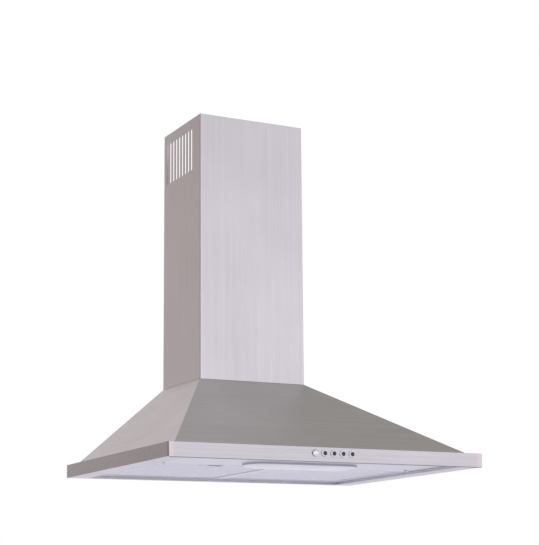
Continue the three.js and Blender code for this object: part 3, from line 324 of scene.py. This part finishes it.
FINISHES = {
    "upright": ["chimney_cover", "chimney_extension"],
    "rim": ["rim_band"],
    "canopy": ["canopy_pyramid"],
    "panel": ["light_panel"],
    "galvanised": [
        "back_panel", "ceiling_bracket", "chimney_foot_left", "chimney_foot_right", "lamp_box",
        "filter_rear_rail", "filter_centre_bar", "blower_bracket_left", "blower_bracket_right",
        "motor_bracket", "capacitor_clip"],
    "aluminium": ["filter_frame_left", "filter_frame_right", "flap_front", "flap_rear"],
    "mesh": ["filter_mesh_left", "filter_mesh_right"],
    "chrome": [f"button_{i}" for i in range(1, 6)],
    "steel": ["motor", "impeller_shaft", "hub_nut", "flap_pin"],
    "bronze": ["bearing_inner", "bearing_outer"],
    "wheel": ["impeller"],
    "black": ["switch_body", "terminal_box", "terminal_lid", "cable_gland"],
    "grey": ["scroll_left", "scroll_right", "inlet_ring_left", "inlet_ring_right", "outlet_collar"],
    "latch": ["filter_latch_left", "filter_latch_right"],
    "white": ["lamp_holder_left", "lamp_holder_right", "capacitor"],
    "lens": ["lamp_lens"],
    "bulb": ["bulb_left", "bulb_right"],
    "cable": ["motor_lead", "switch_lead"],
}

# Width of the rounded edge on each finish, in millimetres
EDGES = {"upright": 0.3, "rim": 0.3, "canopy": 0.3, "panel": 0.3, "galvanised": 0.2,
         "aluminium": 0.3, "grey": 0.5, "black": 0.3, "latch": 0.4, "white": 0.4, "steel": 0.3}
EDGE_SEGMENTS = 2
CABLE_ROUNDING = 2        # subdivisions that make a lead of few sides round
SMOOTH_BELOW = math.radians(33)
WELD_DISTANCE = 0.002 * MM


def joined_and_smoothed():
    """A node group that joins the split faces of a solid and shades its curved skins smooth."""
    group = bpy.data.node_groups.new("joined_and_smoothed", "GeometryNodeTree")
    group.interface.new_socket("Geometry", in_out="INPUT", socket_type="NodeSocketGeometry")
    group.interface.new_socket("Geometry", in_out="OUTPUT", socket_type="NodeSocketGeometry")
    nodes, links = group.nodes, group.links
    source, result = nodes.new("NodeGroupInput"), nodes.new("NodeGroupOutput")
    merge = nodes.new("GeometryNodeMergeByDistance")
    merge.inputs["Distance"].default_value = WELD_DISTANCE
    plain = nodes.new("GeometryNodeRemoveAttribute")
    plain.inputs["Name"].default_value = "custom_normal"
    smooth = nodes.new("GeometryNodeSetShadeSmooth")
    angle = nodes.new("GeometryNodeInputMeshEdgeAngle")
    sharp = nodes.new("FunctionNodeCompare")
    sharp.data_type, sharp.operation = "FLOAT", "GREATER_THAN"
    sharp.inputs[1].default_value = SMOOTH_BELOW
    crease = nodes.new("GeometryNodeSetShadeSmooth")
    crease.domain = "EDGE"
    crease.inputs["Shade Smooth"].default_value = False
    links.new(source.outputs[0], merge.inputs["Geometry"])
    links.new(merge.outputs["Geometry"], plain.inputs["Geometry"])
    links.new(plain.outputs["Geometry"], smooth.inputs["Geometry"])
    links.new(smooth.outputs["Geometry"], crease.inputs["Geometry"])
    links.new(angle.outputs["Unsigned Angle"], sharp.inputs[0])
    links.new(sharp.outputs["Result"], crease.inputs["Selection"])
    links.new(crease.outputs["Geometry"], result.inputs[0])
    return group


def finish_nodes():
    """Gives every CAD solid its material, smooth curved skins and softly rounded edges."""
    skins = joined_and_smoothed()
    for key, names in FINISHES.items():
        for name in names:
            piece = NODES[name]
            piece.data.materials.clear()
            piece.data.materials.append(MATERIALS[key])
            piece.modifiers.new("skin", "NODES").node_group = skins
            if key == "cable":
                piece.modifiers.new("round", "SUBSURF").render_levels = CABLE_ROUNDING
            if key in EDGES:
                bevel = piece.modifiers.new("edge", "BEVEL")
                bevel.width = EDGES[key] * MM
                bevel.segments = EDGE_SEGMENTS
                bevel.limit_method = "ANGLE"
                bevel.angle_limit = SMOOTH_BELOW
                even = piece.modifiers.new("even", "WEIGHTED_NORMAL")
                even.keep_sharp = True


# ---------------------------------------------------------------- making pieces

def finished_piece(name, shape, material, body, replaced=(), smooth_angle=30.0):
    """Turns a bmesh, already in place, into a piece that rides on a body."""
    limit = math.radians(smooth_angle)
    bmesh.ops.recalc_face_normals(shape, faces=shape.faces)
    for face in shape.faces:
        face.smooth = True
    for edge in shape.edges:
        edge.smooth = len(edge.link_faces) == 2 and edge.calc_face_angle(0.0) < limit
    mesh = bpy.data.meshes.new(name)
    shape.to_mesh(mesh)
    shape.free()
    mesh.materials.append(MATERIALS[material])
    piece = bpy.data.objects.new(name, mesh)
    bpy.context.scene.collection.objects.link(piece)
    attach(piece, body)
    if replaced:
        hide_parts(*replaced)
    return piece


def skin(shape, rings, closed_ends=True):
    """Joins a stack of point rings with the same count into one skin."""
    rows = [[shape.verts.new(point) for point in ring] for ring in rings]
    count = len(rings[0])
    for lower, upper in zip(rows, rows[1:]):
        for i in range(count):
            j = (i + 1) % count
            shape.faces.new((lower[i], lower[j], upper[j], upper[i]))
    if closed_ends:
        shape.faces.new(tuple(reversed(rows[0])))
        shape.faces.new(tuple(rows[-1]))


def frame_along(axis):
    """An axis of length 1 and two directions square to it, for drawing rings round it."""
    axis = Vector(axis).normalized()
    first = axis.orthogonal().normalized()
    return axis, first, axis.cross(first)


CROSS_ARMS = 4
CROSS_WAVE = 0.42         # depth of the wave that makes the cross, as a share of the radius


def lathe(shape, profile, centre, axis, sides, crossed_from=None):
    """Turns a profile of (radius, distance along the axis) round an axis.

    Rings from number crossed_from on are waved into the cross of a driver recess.
    """
    axis, first, second = frame_along(axis)
    rings = []
    for k, (radius, along) in enumerate(profile):
        crossed = crossed_from is not None and k >= crossed_from
        ring = []
        for i in range(sides):
            angle = 2 * math.pi * i / sides
            wave = 1.0 + (CROSS_WAVE * math.cos(CROSS_ARMS * angle) if crossed else 0.0)
            across = first * math.cos(angle) + second * math.sin(angle)
            ring.append(Vector(centre) + axis * along + across * radius * wave)
        rings.append(ring)
    skin(shape, rings)


# Head profiles in radii of the head: (radius, height). The last rings of the screw are its
# driver recess, those of the rivet the dimple of its mandrel.
PAN_HEAD = [(0.5, -0.3), (0.5, 0.0), (1.0, 0.02), (1.0, 0.2), (0.93, 0.36), (0.76, 0.47),
            (0.48, 0.52), (0.36, 0.5), (0.3, 0.2), (0.1, 0.12)]
RIVET_HEAD = [(0.5, -0.3), (0.5, 0.0), (1.0, 0.02), (1.0, 0.12), (0.86, 0.3), (0.55, 0.44),
              (0.22, 0.5), (0.2, 0.42), (0.05, 0.4)]
RECESS_STARTS = 7         # ring of PAN_HEAD from which on it is crossed
HEAD_SIDES = 32


def fasteners(name, places, axis, radius, body, material="steel", crossed=True):
    """Screws or rivets of one size on one body, as one piece; places are on the seat."""
    shape = bmesh.new()
    head = PAN_HEAD if crossed else RIVET_HEAD
    profile = [(r * radius, h * radius) for r, h in head]
    for place in places:
        lathe(shape, profile, place, axis, HEAD_SIDES, RECESS_STARTS if crossed else None)
    return finished_piece(name, shape, material, body)


# ---------------------------------------------------------------- buttons

BUTTONS = [f"button_{i}" for i in range(1, 6)]
BUTTON_BODIES = [f"push_button_{i}" for i in range(1, 6)]
CAP_SIDES = 56
CAP_DOME = 1.6 * MM
CAP_SMOOTH = 40.0         # degrees
SHOULDER = 2.4 * MM       # from the front of the cap to the groove behind its dome
GROOVE = 0.15 * MM
GROOVE_HALF = 0.2 * MM
SKIRT = 12.5 * MM         # from the front of the cap to the end of its skirt
CHAMFER = 0.3 * MM
STEM_RADIUS = 3 * MM
# The dark inlay: its radius as a share of the cap's, and how far it stands proud of the cap
INLAY_SHARE = 0.66
INLAY_PROUD = 0.35 * MM
INLAY_DOME = 0.5 * MM
INLAY_DEPTH = 1.6 * MM
INLAY_SIDES = 40
# Rings of a dome as shares of its radius, and how far out on a half ball the dome ends
DOME_STEPS = (0.12, 0.25, 0.38, 0.5, 0.62, 0.72, 0.8, 0.87, 0.93, 0.975, 1.0)
DOME_REACH = 0.96


def dome_profile(radius, rise, start):
    """A dome from its middle outwards, as (radius, distance along the axis)."""
    return [(0.01 * radius, start)] + [
        (radius * step, start + rise * (1 - math.sqrt(1 - (step * DOME_REACH) ** 2)))
        for step in DOME_STEPS]


def build_buttons():
    """Domed caps on a straight skirt: the lamp's key is bright, the others have a dark inlay."""
    for name, body in zip(BUTTONS, BUTTON_BODIES):
        near, far = low(name), high(name)
        centre = Vector((middle(name).x, 0, middle(name).z))
        radius = (far.x - near.x) / 2
        shoulder = near.y + SHOULDER
        skirt = near.y + SKIRT
        stem = [(radius, shoulder), (radius - GROOVE, shoulder + GROOVE_HALF),
                (radius, shoulder + 2 * GROOVE_HALF), (radius, skirt - CHAMFER),
                (radius - CHAMFER, skirt), (STEM_RADIUS, skirt),
                (STEM_RADIUS, far.y - CHAMFER), (STEM_RADIUS - CHAMFER, far.y)]
        bright = name == BUTTONS[0]
        crest = near.y if bright else near.y + INLAY_PROUD
        cap = bmesh.new()
        lathe(cap, dome_profile(radius, CAP_DOME, crest) + stem, centre, Y_AXIS, CAP_SIDES)
        finished_piece(f"{name}_cap", cap, "chrome" if bright else "pearl", body,
                       [name], CAP_SMOOTH)
        if not bright:
            size = radius * INLAY_SHARE
            profile = dome_profile(size, INLAY_DOME, near.y) + [(size, near.y + INLAY_DEPTH)]
            inlay = bmesh.new()
            lathe(inlay, profile, centre, Y_AXIS, INLAY_SIDES)
            finished_piece(f"{name}_inlay", inlay, "key", body)


# ---------------------------------------------------------------- lamp

LENS_CORNER = 30 * MM
LENS_CORNER_POINTS = 14   # per quarter
SMALLEST_CORNER = 0.5 * MM
LENS_SEAT = 5 * MM        # height of the lens's edge above the rim's lowest point
LENS_WALL = 2 * MM
LENS_SLOPE = 27.5 * MM    # how far in from its edge the lens reaches its full depth
LENS_FULLNESS = 4         # exponent of the crown's curve: the higher, the squarer its shoulder
LENS_SMOOTH = 50.0        # degrees
# Rings of the crown as shares of the slope
LENS_STEPS = (0.0, 0.02, 0.06, 0.12, 0.2, 0.3, 0.42, 0.56, 0.72, 0.88, 1.0)
# The gasket: its top and bottom below the lens's edge, its thickness and how far in it reaches
GASKET_TOP = 0.2 * MM
GASKET_BOTTOM = 3.4 * MM
GASKET_BAND = 0.35 * MM
GASKET_INNER = 0.9 * MM
GASKET_LIP = 0.6 * MM     # from the gasket's bottom up to its inner edge
GASKET_STEP = 0.3 * MM    # from its top down to its inner edge
WELD_GASKET = 1e-6


def lens_outline(box_low, box_high, inset, height):
    """A level ring round the lens, moved in from its edge."""
    ring = []
    radius = max(LENS_CORNER - inset, SMALLEST_CORNER)
    half_x = (box_high.x - box_low.x) / 2 - inset - radius
    half_y = (box_high.y - box_low.y) / 2 - inset - radius
    centre = (box_low + box_high) / 2
    for quarter, (sx, sy) in enumerate(((1, 1), (-1, 1), (-1, -1), (1, -1))):
        for i in range(LENS_CORNER_POINTS):
            angle = math.pi / 2 * (quarter + i / (LENS_CORNER_POINTS - 1))
            ring.append(Vector((centre.x + sx * half_x + radius * math.cos(angle),
                                centre.y + sy * half_y + radius * math.sin(angle), height)))
    return ring


def build_lens():
    """A blown cover with a soft crown, and a grey gasket round its edge whose grey is partly
    painted shade for the lens's shaded front wall.
    """
    near, far = low("lamp_lens"), high("lamp_lens")
    seat = RIM_BOTTOM + LENS_SEAT
    crown = seat - near.z

    def shell(inset, lift):
        rings = [lens_outline(near, far, inset, far.z)]
        for step in LENS_STEPS:
            drop = crown * math.sqrt(1 - (1 - step) ** LENS_FULLNESS)
            rings.append(lens_outline(near, far, inset + step * (LENS_SLOPE - inset),
                                      seat - drop + lift))
        return rings

    shape = bmesh.new()
    skin(shape, list(reversed(shell(LENS_WALL, LENS_WALL))) + shell(0.0, 0.0))
    finished_piece("lens_cover", shape, "lens", "lens", ["lamp_lens"], LENS_SMOOTH)

    top, bottom = seat - GASKET_TOP, seat - GASKET_BOTTOM
    section = [(GASKET_BAND, top), (-GASKET_BAND, top - GASKET_BAND),
               (-GASKET_BAND, bottom + GASKET_BAND), (GASKET_BAND * 1.5, bottom),
               (GASKET_INNER, bottom + GASKET_LIP), (GASKET_INNER, top - GASKET_STEP),
               (GASKET_BAND, top)]
    gasket = bmesh.new()
    skin(gasket, [lens_outline(near, far, inset, height) for inset, height in section],
         closed_ends=False)
    bmesh.ops.remove_doubles(gasket, verts=gasket.verts, dist=WELD_GASKET)
    finished_piece("lens_gasket", gasket, "gasket", "lens")


# Share of the way along the glass, and its radius as a share of the widest one
BULB_PROFILE = ((0.0, 0.57), (0.05, 0.66), (0.1, 0.75), (0.18, 0.88), (0.27, 0.97), (0.35, 1.0),
                (0.45, 0.99), (0.55, 0.96), (0.65, 0.9), (0.75, 0.82), (0.83, 0.72),
                (0.9, 0.59), (0.95, 0.44), (0.985, 0.25), (1.0, 0.05))
BULB_SIDES = 40
BULB_SMOOTH = 60.0        # degrees
BULB_BASE_RADIUS = 7 * MM
BULB_BASE_LENGTH = 16 * MM
GLASS_GAP = 0.1 * MM
THREAD_TURNS = 6
THREAD_START = 1.2 * MM
THREAD_PITCH = 2.2 * MM
# The contact at the end of the base, as (share of the base's radius, distance along the axis)
BULB_CONTACT = ((0.3, 0.0), (0.55, 0.0), (0.6, 0.8 * MM))
# Crest and root of one turn in the same way
THREAD_TURN = ((0.97, 0.5 * MM), (0.86, 1.6 * MM))
THREAD_END = 0.95


def build_bulbs():
    """Opal candle bulbs with a rolled thread on the base."""
    base = [(share * BULB_BASE_RADIUS, along) for share, along in BULB_CONTACT]
    for turn in range(THREAD_TURNS):
        start = THREAD_START + turn * THREAD_PITCH
        base += [(share * BULB_BASE_RADIUS, start + along) for share, along in THREAD_TURN]
    base.append((THREAD_END * BULB_BASE_RADIUS, BULB_BASE_LENGTH))
    glass_start = BULB_BASE_LENGTH + GLASS_GAP
    for side, sign in SIDES:
        name = f"bulb_{side}"
        near, far = low(name), high(name)
        centre = middle(name)
        length = far.x - near.x
        widest = (far.z - near.z) / 2
        seat = Vector((near.x if sign < 0 else far.x, centre.y, centre.z))
        inwards = (-sign, 0, 0)
        cap = bmesh.new()
        lathe(cap, base, seat, inwards, BULB_SIDES)
        finished_piece(f"{name}_cap", cap, "nickel", "canopy", [name])
        glass = bmesh.new()
        outline = [(radius * widest, glass_start + (length - glass_start) * share)
                   for share, radius in BULB_PROFILE]
        lathe(glass, outline, seat, inwards, BULB_SIDES)
        finished_piece(f"{name}_glass", glass, "bulb", "canopy",
                       smooth_angle=BULB_SMOOTH)


# ---------------------------------------------------------------- grease filters

DIAMOND = (11.0 * MM, 5.8 * MM)
STRAND = (1.0 * MM, 0.6 * MM)
SHORTEST_STRAND = 1.0 * MM
STRAND_LAP = 0.3          # overlap of neighbouring strands, as a share of their width
STRAND_TILT = 0.25        # rise and fall at the turns, as a share of their thickness
# How far the latch pocket reaches beyond the latch at its sides and behind it
POCKET_SIDE = 2.5 * MM
POCKET_REAR = 7.4 * MM
FRAME_BORDER = 12 * MM    # width of the frame round its window
TAB_REACH = 3.8 * MM      # of the tabs behind the frame
# How far the sheets lie in from the frame's sides, from its two faces and from its window
SHEET_INSET = 2.2 * MM
SHEET_LEVEL = 1.45 * MM
SHEET_REAR = 4 * MM
# Section of the strip that covers the open rear ends of the pleats: distance behind the
# window's rear edge, and height above the frame's lower face
STRIP_SECTION = ((-5 * MM, 1.5 * MM), (-4.6 * MM, 1.15 * MM), (1 * MM, 1.15 * MM),
                 (1 * MM, 1.9 * MM), (-4.6 * MM, 1.9 * MM))
STRIP_INSET = 1 * MM
RIVET_INSET = 6 * MM
RIVET_RADIUS = 2.4 * MM


def cut_out(points, hole):
    """Splits a line of points at a rectangular hole, and drops what lies inside the hole."""
    stretches, stretch = [], [points[0]]
    for start, stop in zip(points, points[1:]):
        enter, leave = 0.0, 1.0
        for axis, edges in enumerate(hole):
            shares = sorted((edge - start[axis]) / (stop[axis] - start[axis]) for edge in edges)
            enter, leave = max(enter, shares[0]), min(leave, shares[1])
        if enter >= leave:
            stretch.append(stop)
            continue
        if enter > 0.0:
            stretch.append(start.lerp(stop, enter))
        stretches.append(stretch)
        stretch = [start.lerp(stop, leave), stop] if leave < 1.0 else []
    return stretches + [stretch]


def lattice(shape, span_x, span_y, height, hole):
    """Expanded metal: zigzag strands that meet their neighbours, cut to fit round a hole."""
    pitch_x, pitch_y = DIAMOND
    width, thick = STRAND
    columns = int((span_x[1] - span_x[0]) / (pitch_x / 2))
    rows = int((span_y[1] - span_y[0]) / pitch_y)
    step_x = (span_x[1] - span_x[0]) / columns
    step_y = (span_y[1] - span_y[0]) / rows
    swing = step_y / 2 - width * STRAND_LAP
    for row in range(rows):
        centre_y = span_y[0] + (row + 0.5) * step_y
        turns = []
        for column in range(columns + 1):
            up = 1 if (column + row) % 2 else -1
            turns.append(Vector((span_x[0] + column * step_x, centre_y + up * swing,
                                 height + up * thick * STRAND_TILT)))
        for points in cut_out(turns, hole):
            if points and (points[-1] - points[0]).length > SHORTEST_STRAND:
                skin(shape, [[point + Vector((0, y * width / 2, z * thick / 2))
                              for y, z in ((-1, -1), (1, -1), (1, 1), (-1, 1))]
                             for point in points])


def build_filters():
    """Sheets of expanded metal on both faces of each pleated pad, its rear strip and rivets."""
    for side, _ in SIDES:
        body = f"filter_{side}"
        frame_low, frame_high = low(f"filter_frame_{side}"), high(f"filter_frame_{side}")
        latch_low, latch_high = low(f"filter_latch_{side}"), high(f"filter_latch_{side}")
        rear = frame_high.y - TAB_REACH
        window_rear = rear - FRAME_BORDER
        inner_x = (frame_low.x + SHEET_INSET, frame_high.x - SHEET_INSET)
        inner_y = (frame_low.y + SHEET_INSET, window_rear - SHEET_REAR)
        hole = ((latch_low.x - POCKET_SIDE, latch_high.x + POCKET_SIDE),
                (frame_low.y, latch_high.y + POCKET_REAR))
        sheets = bmesh.new()
        for height in (frame_low.z + SHEET_LEVEL, frame_high.z - SHEET_LEVEL):
            lattice(sheets, inner_x, inner_y, height, hole)
        finished_piece(f"filter_sheet_{side}", sheets, "mesh", body)

        strip = bmesh.new()
        skin(strip, [[Vector((x, window_rear + y, frame_low.z + z)) for y, z in STRIP_SECTION]
                     for x in (inner_x[0] + STRIP_INSET, inner_x[1] - STRIP_INSET)])
        finished_piece(f"filter_strip_{side}", strip, "aluminium", body)

        places = [(x, y, frame_low.z)
                  for x in (frame_low.x + RIVET_INSET, frame_high.x - RIVET_INSET)
                  for y in (frame_low.y + RIVET_INSET, rear - RIVET_INSET)]
        fasteners(f"filter_rivets_{side}", places, DOWN, RIVET_RADIUS, body,
                  "aluminium", False)


# ---------------------------------------------------------------- fixings, and a hem dark with painted shadow

# A thin roll under the rim's front edge, coloured dark as painted shadow
HEM_RADIUS = 0.55 * MM
HEM_SIDES = 12
HEM_INSET = 2.2 * MM      # from the ends of the rim
HEM_TAPER = 1 * MM        # over this length each end narrows to half its radius
HEM_BACK = 0.75 * MM      # of the roll's middle, behind the rim's face
HEM_DROP = 0.45 * MM      # of the roll's middle, below the rim's lower edge


def build_painted_shadow_hem():
    """The folded hem under the front of the rim, dark with painted shadow along its lower front
    edge.
    """
    near, far = low("rim_band"), high("rim_band")
    start, stop = near.x + HEM_INSET, far.x - HEM_INSET
    turns = [2 * math.pi * i / HEM_SIDES for i in range(HEM_SIDES)]
    shape = bmesh.new()
    skin(shape, [[Vector((x, near.y + HEM_BACK + radius * math.cos(turn),
                          near.z - HEM_DROP + radius * math.sin(turn))) for turn in turns]
                 for x, radius in ((start, HEM_RADIUS / 2), (start + HEM_TAPER, HEM_RADIUS),
                                   (stop - HEM_TAPER, HEM_RADIUS), (stop, HEM_RADIUS / 2))])
    finished_piece("front_hem_painted_shadow", shape, "painted_shadow_hem", "canopy")


# Radius of the screw heads by their place, and how far they sit in from the edges there
PANEL_HEAD, PANEL_SIDE, PANEL_FRONT, PANEL_REAR = 3.4 * MM, 60 * MM, 24 * MM, 14 * MM
COLLAR_HEAD, COLLAR_INSET = 2.6 * MM, 7 * MM
MOTOR_HEAD = 2.8 * MM
LID_HEAD, LID_INSET = 2.4 * MM, 7 * MM
BLOWER_HEAD, BLOWER_SIDE, BLOWER_END = 3.0 * MM, 5 * MM, 14 * MM
FOOT_HEAD, FOOT_SIDE, FOOT_END = 2.2 * MM, 4.5 * MM, 16 * MM
COLLAR_PLATE = 1.5 * MM       # thickness of the collar's plate
BRACKET_SHEET = 1.2 * MM      # thickness of the feet and brackets
MOTOR_SCREW_CIRCLE = 59 * MM  # radius
MOTOR_ARMS = (90, 210, 330)   # degrees round the shaft


def inset_ends(near, far, inset):
    """Two places on a stretch, each moved in from one of its ends."""
    return near + inset, far - inset


def build_fixings():
    """Screws where a serviced hood has them."""
    rim_low, rim_high = low("rim_band"), high("rim_band")
    panel_low, panel_high = low("light_panel"), high("light_panel")
    fasteners("panel_screws", [
        (x, y, panel_low.z) for x in inset_ends(rim_low.x, rim_high.x, PANEL_SIDE)
        for y in (RIM_FRONT + PANEL_FRONT, panel_high.y - PANEL_REAR)],
        DOWN, PANEL_HEAD, "canopy")

    plate_low, plate_high = low("outlet_collar"), high("outlet_collar")
    fasteners("collar_screws", [
        (x, y, plate_low.z + COLLAR_PLATE)
        for x in inset_ends(plate_low.x, plate_high.x, COLLAR_INSET)
        for y in inset_ends(plate_low.y, plate_high.y, COLLAR_INSET)],
        UP, COLLAR_HEAD, "canopy")

    arm = high("motor_bracket").x
    axis = middle("impeller_shaft")
    fasteners("motor_screws", [
        (arm, axis.y + MOTOR_SCREW_CIRCLE * math.cos(turn),
         axis.z + MOTOR_SCREW_CIRCLE * math.sin(turn)) for turn in map(math.radians, MOTOR_ARMS)],
        X_AXIS, MOTOR_HEAD, "canopy")

    lid_low, lid_high = low("terminal_lid"), high("terminal_lid")
    fasteners("lid_screws", [
        (middle("terminal_lid").x, lid_low.y, z)
        for z in inset_ends(lid_low.z, lid_high.z, LID_INSET)], FORWARD, LID_HEAD, "canopy")

    for side, sign in SIDES:
        foot_low, foot_high = low(f"blower_bracket_{side}"), high(f"blower_bracket_{side}")
        outer = foot_low.x + BLOWER_SIDE if sign < 0 else foot_high.x - BLOWER_SIDE
        fasteners(f"blower_screws_{side}", [
            (outer, foot_high.y - BRACKET_SHEET, z)
            for z in inset_ends(foot_low.z, foot_high.z, BLOWER_END)],
            FORWARD, BLOWER_HEAD, "canopy")
    for side, sign in SIDES:
        foot_low, foot_high = low(f"chimney_foot_{side}"), high(f"chimney_foot_{side}")
        inner = foot_high.x - FOOT_SIDE if sign < 0 else foot_low.x + FOOT_SIDE
        fasteners(f"foot_screws_{side}", [
            (inner, y, foot_low.z + BRACKET_SHEET)
            for y in inset_ends(foot_low.y, foot_high.y, FOOT_END)], UP, FOOT_HEAD, "canopy")


# ---------------------------------------------------------------- studio

# Direction towards each box, cosines at its soft edge and at its core, and its colour; a
# negative colour darkens the room there
SOFTBOXES = [
    ((0.46, -0.87, -0.10), (0.20, 0.97), (0.79, 0.78, 0.88)),
    ((-0.08, 0.87, 0.48), (0.80, 0.97), (0.52, 0.47, 0.48)),
    ((0.00, 0.10, 1.00), (0.55, 1.00), (0.25, 0.24, 0.24)),
    ((0.30, 0.60, -0.75), (0.20, 0.90), (0.40, 0.40, 0.48)),
    ((0.95, 0.20, 0.10), (0.86, 0.98), (0.40, 0.39, 0.43)),
    ((-0.87, -0.46, 0.16), (0.90, 0.985), (-0.26, -0.25, -0.24)),
]
# The room darkens between two heights, as sines of the elevation, to this share of its light
CEILING_FALL = (0.06, 0.40, 0.68)
AMBIENT = (0.33, 0.31, 0.30)
DIFFUSE_LEVEL = 0.85      # brightness of the room for all light that isn't a mirror image
WHITE = (1.0, 1.0, 1.0, 1.0)


def build_world():
    """White behind the object; metal sees a grey room with a few wide soft boxes."""
    world = bpy.data.worlds.new("studio")
    bpy.context.scene.world = world
    world.use_nodes = True
    tree = world.node_tree
    tree.nodes.clear()

    def node(kind, inputs=(), **settings):
        return add_node(tree, kind, inputs, **settings)

    def chosen(share, first, second):
        mix = node("ShaderNodeMixShader", {"Fac": share, 1: first, 2: second})
        return mix.outputs[0]

    direction = node("ShaderNodeTexCoord").outputs["Generated"]
    total = AMBIENT
    for towards, (edge, core), color in SOFTBOXES:
        facing = node("ShaderNodeVectorMath", {0: direction, 1: Vector(towards).normalized()},
                      operation="DOT_PRODUCT")
        share = node("ShaderNodeMapRange", {
            "Value": facing.outputs["Value"], "From Min": edge, "From Max": core},
            interpolation_type="SMOOTHSTEP")
        box = node("ShaderNodeVectorMath", {0: color, "Scale": share.outputs["Result"]},
                   operation="SCALE")
        total = node("ShaderNodeVectorMath", {0: box.outputs["Vector"], 1: total},
                     operation="ADD").outputs["Vector"]
    height = node("ShaderNodeSeparateXYZ", {0: direction})
    fall_start, fall_end, ceiling = CEILING_FALL
    fall = node("ShaderNodeMapRange", {
        "Value": height.outputs["Z"], "From Min": fall_start, "From Max": fall_end,
        "To Min": 1.0, "To Max": ceiling}, interpolation_type="SMOOTHSTEP")
    dimmed = node("ShaderNodeVectorMath", {0: total, "Scale": fall.outputs["Result"]},
                  operation="SCALE")

    path = node("ShaderNodeLightPath").outputs
    room = node("ShaderNodeBackground", {"Color": dimmed.outputs["Vector"]}).outputs[0]
    plain = node("ShaderNodeBackground", {"Color": WHITE, "Strength": DIFFUSE_LEVEL}).outputs[0]
    white = node("ShaderNodeBackground", {"Color": WHITE}).outputs[0]
    seen = node("ShaderNodeMath", {0: path["Is Camera Ray"], 1: path["Is Transmission Ray"]},
                operation="MAXIMUM").outputs[0]
    lit = chosen(path["Is Glossy Ray"], plain, room)
    node("ShaderNodeOutputWorld", {"Surface": chosen(seen, lit, white)})


FLOOR_DROP = 0.75
FLOOR_RADIUS = 40.0
FLOOR_SIDES = 96
FLOOR_COLOR = (0.89, 0.885, 0.965)
FLOOR_ROUGHNESS = (0.8, 0.9)
FLOOR_NOISE = 3.0         # in features per metre
FLOOR_LIFT = 0.18         # glow that keeps the floor white where it is seen directly


def build_floor():
    """A wide pale floor at counter distance below the hood, clear from underneath."""
    mesh = bpy.data.meshes.new("floor")
    shape = bmesh.new()
    bmesh.ops.create_circle(shape, cap_ends=True, segments=FLOOR_SIDES, radius=FLOOR_RADIUS)
    shape.to_mesh(mesh)
    shape.free()
    floor = bpy.data.objects.new("floor", mesh)
    floor.location.z = RIM_BOTTOM - FLOOR_DROP
    bpy.context.scene.collection.objects.link(floor)
    shader = Shader("floor_pale", FLOOR_COLOR, FLOOR_ROUGHNESS[0])
    shader.feed(shader.remap(shader.noise(FLOOR_NOISE), *FLOOR_ROUGHNESS), "Roughness")
    path = shader.node("ShaderNodeLightPath").outputs["Is Camera Ray"]
    shader.feed(shader.tint(path, FLOOR_COLOR, WHITE[:3]), "Base Color")
    shader.put("Emission Color", WHITE)
    shader.feed(shader.remap(path, 0.0, FLOOR_LIFT, 0.0, 1.0), "Emission Strength")
    clear = shader.node("ShaderNodeBsdfTransparent").outputs["BSDF"]
    under = shader.node("ShaderNodeNewGeometry").outputs["Backfacing"]
    mix = shader.node("ShaderNodeMixShader", {
        "Fac": under, 1: shader.principled.outputs["BSDF"], 2: clear})
    output = shader.tree.nodes["Material Output"]
    shader.tree.links.new(mix.outputs["Shader"], output.inputs["Surface"])
    mesh.materials.append(shader.material)


LENS_FOCAL_PX = 1537.1
FRAME_WIDTH_PX = 539
FRAME_HEIGHT_PX = 545
PRINCIPAL_PX = (300.0, 310.0)
SENSOR_SIZE = 36.0        # in millimetres
CLIP_END = 200.0
# From the middle of the object's rear, with the height taken from the rim's lowest point
CAMERA_PLACE = (-1.2565, -2.7183, -0.2221)
CAMERA_AZIMUTH = 28.06    # this angle and the next two are in degrees
CAMERA_ELEVATION = 10.60
CAMERA_ROLL = -0.652


def build_camera():
    data = bpy.data.cameras.new("camera")
    data.sensor_width = SENSOR_SIZE
    data.lens = LENS_FOCAL_PX / FRAME_HEIGHT_PX * data.sensor_width
    data.shift_x = (FRAME_WIDTH_PX / 2 - PRINCIPAL_PX[0]) / FRAME_HEIGHT_PX
    data.shift_y = (PRINCIPAL_PX[1] - FRAME_HEIGHT_PX / 2) / FRAME_HEIGHT_PX
    data.clip_end = CLIP_END
    camera = bpy.data.objects.new("camera", data)
    azimuth = math.radians(CAMERA_AZIMUTH)
    elevation = math.radians(CAMERA_ELEVATION)
    forward = Vector((
        math.sin(azimuth) * math.cos(elevation),
        math.cos(azimuth) * math.cos(elevation),
        math.sin(elevation)))
    turn = forward.to_track_quat("-Z", "Y").to_matrix().to_4x4()
    roll = Matrix.Rotation(math.radians(CAMERA_ROLL), 4, "Z")
    place = Vector(CAMERA_PLACE) + Vector((0, 0, RIM_BOTTOM))
    camera.matrix_world = Matrix.Translation(place) @ turn @ roll
    bpy.context.scene.collection.objects.link(camera)
    bpy.context.scene.camera = camera


LAMP_PLACE = (-2.2, -2.4, 2.6)
LAMP_SIZE = 2.4
LAMP_POWER = 14.0


def build_lamp():
    """One large soft lamp above and to the left of the camera."""
    place = Vector(LAMP_PLACE)
    data = bpy.data.lights.new("key", "AREA")
    data.shape = "DISK"
    data.size = LAMP_SIZE
    data.energy = LAMP_POWER
    lamp = bpy.data.objects.new("key", data)
    lamp.location = place
    lamp.rotation_euler = (-place).to_track_quat("-Z", "Y").to_euler()
    bpy.context.scene.collection.objects.link(lamp)


finish_nodes()
build_buttons()
build_lens()
build_bulbs()
build_filters()
build_painted_shadow_hem()
build_fixings()
build_world()
build_floor()
build_lamp()
build_camera()

bpy.context.scene.view_settings.view_transform = "Standard"
bpy.context.view_layer.update()
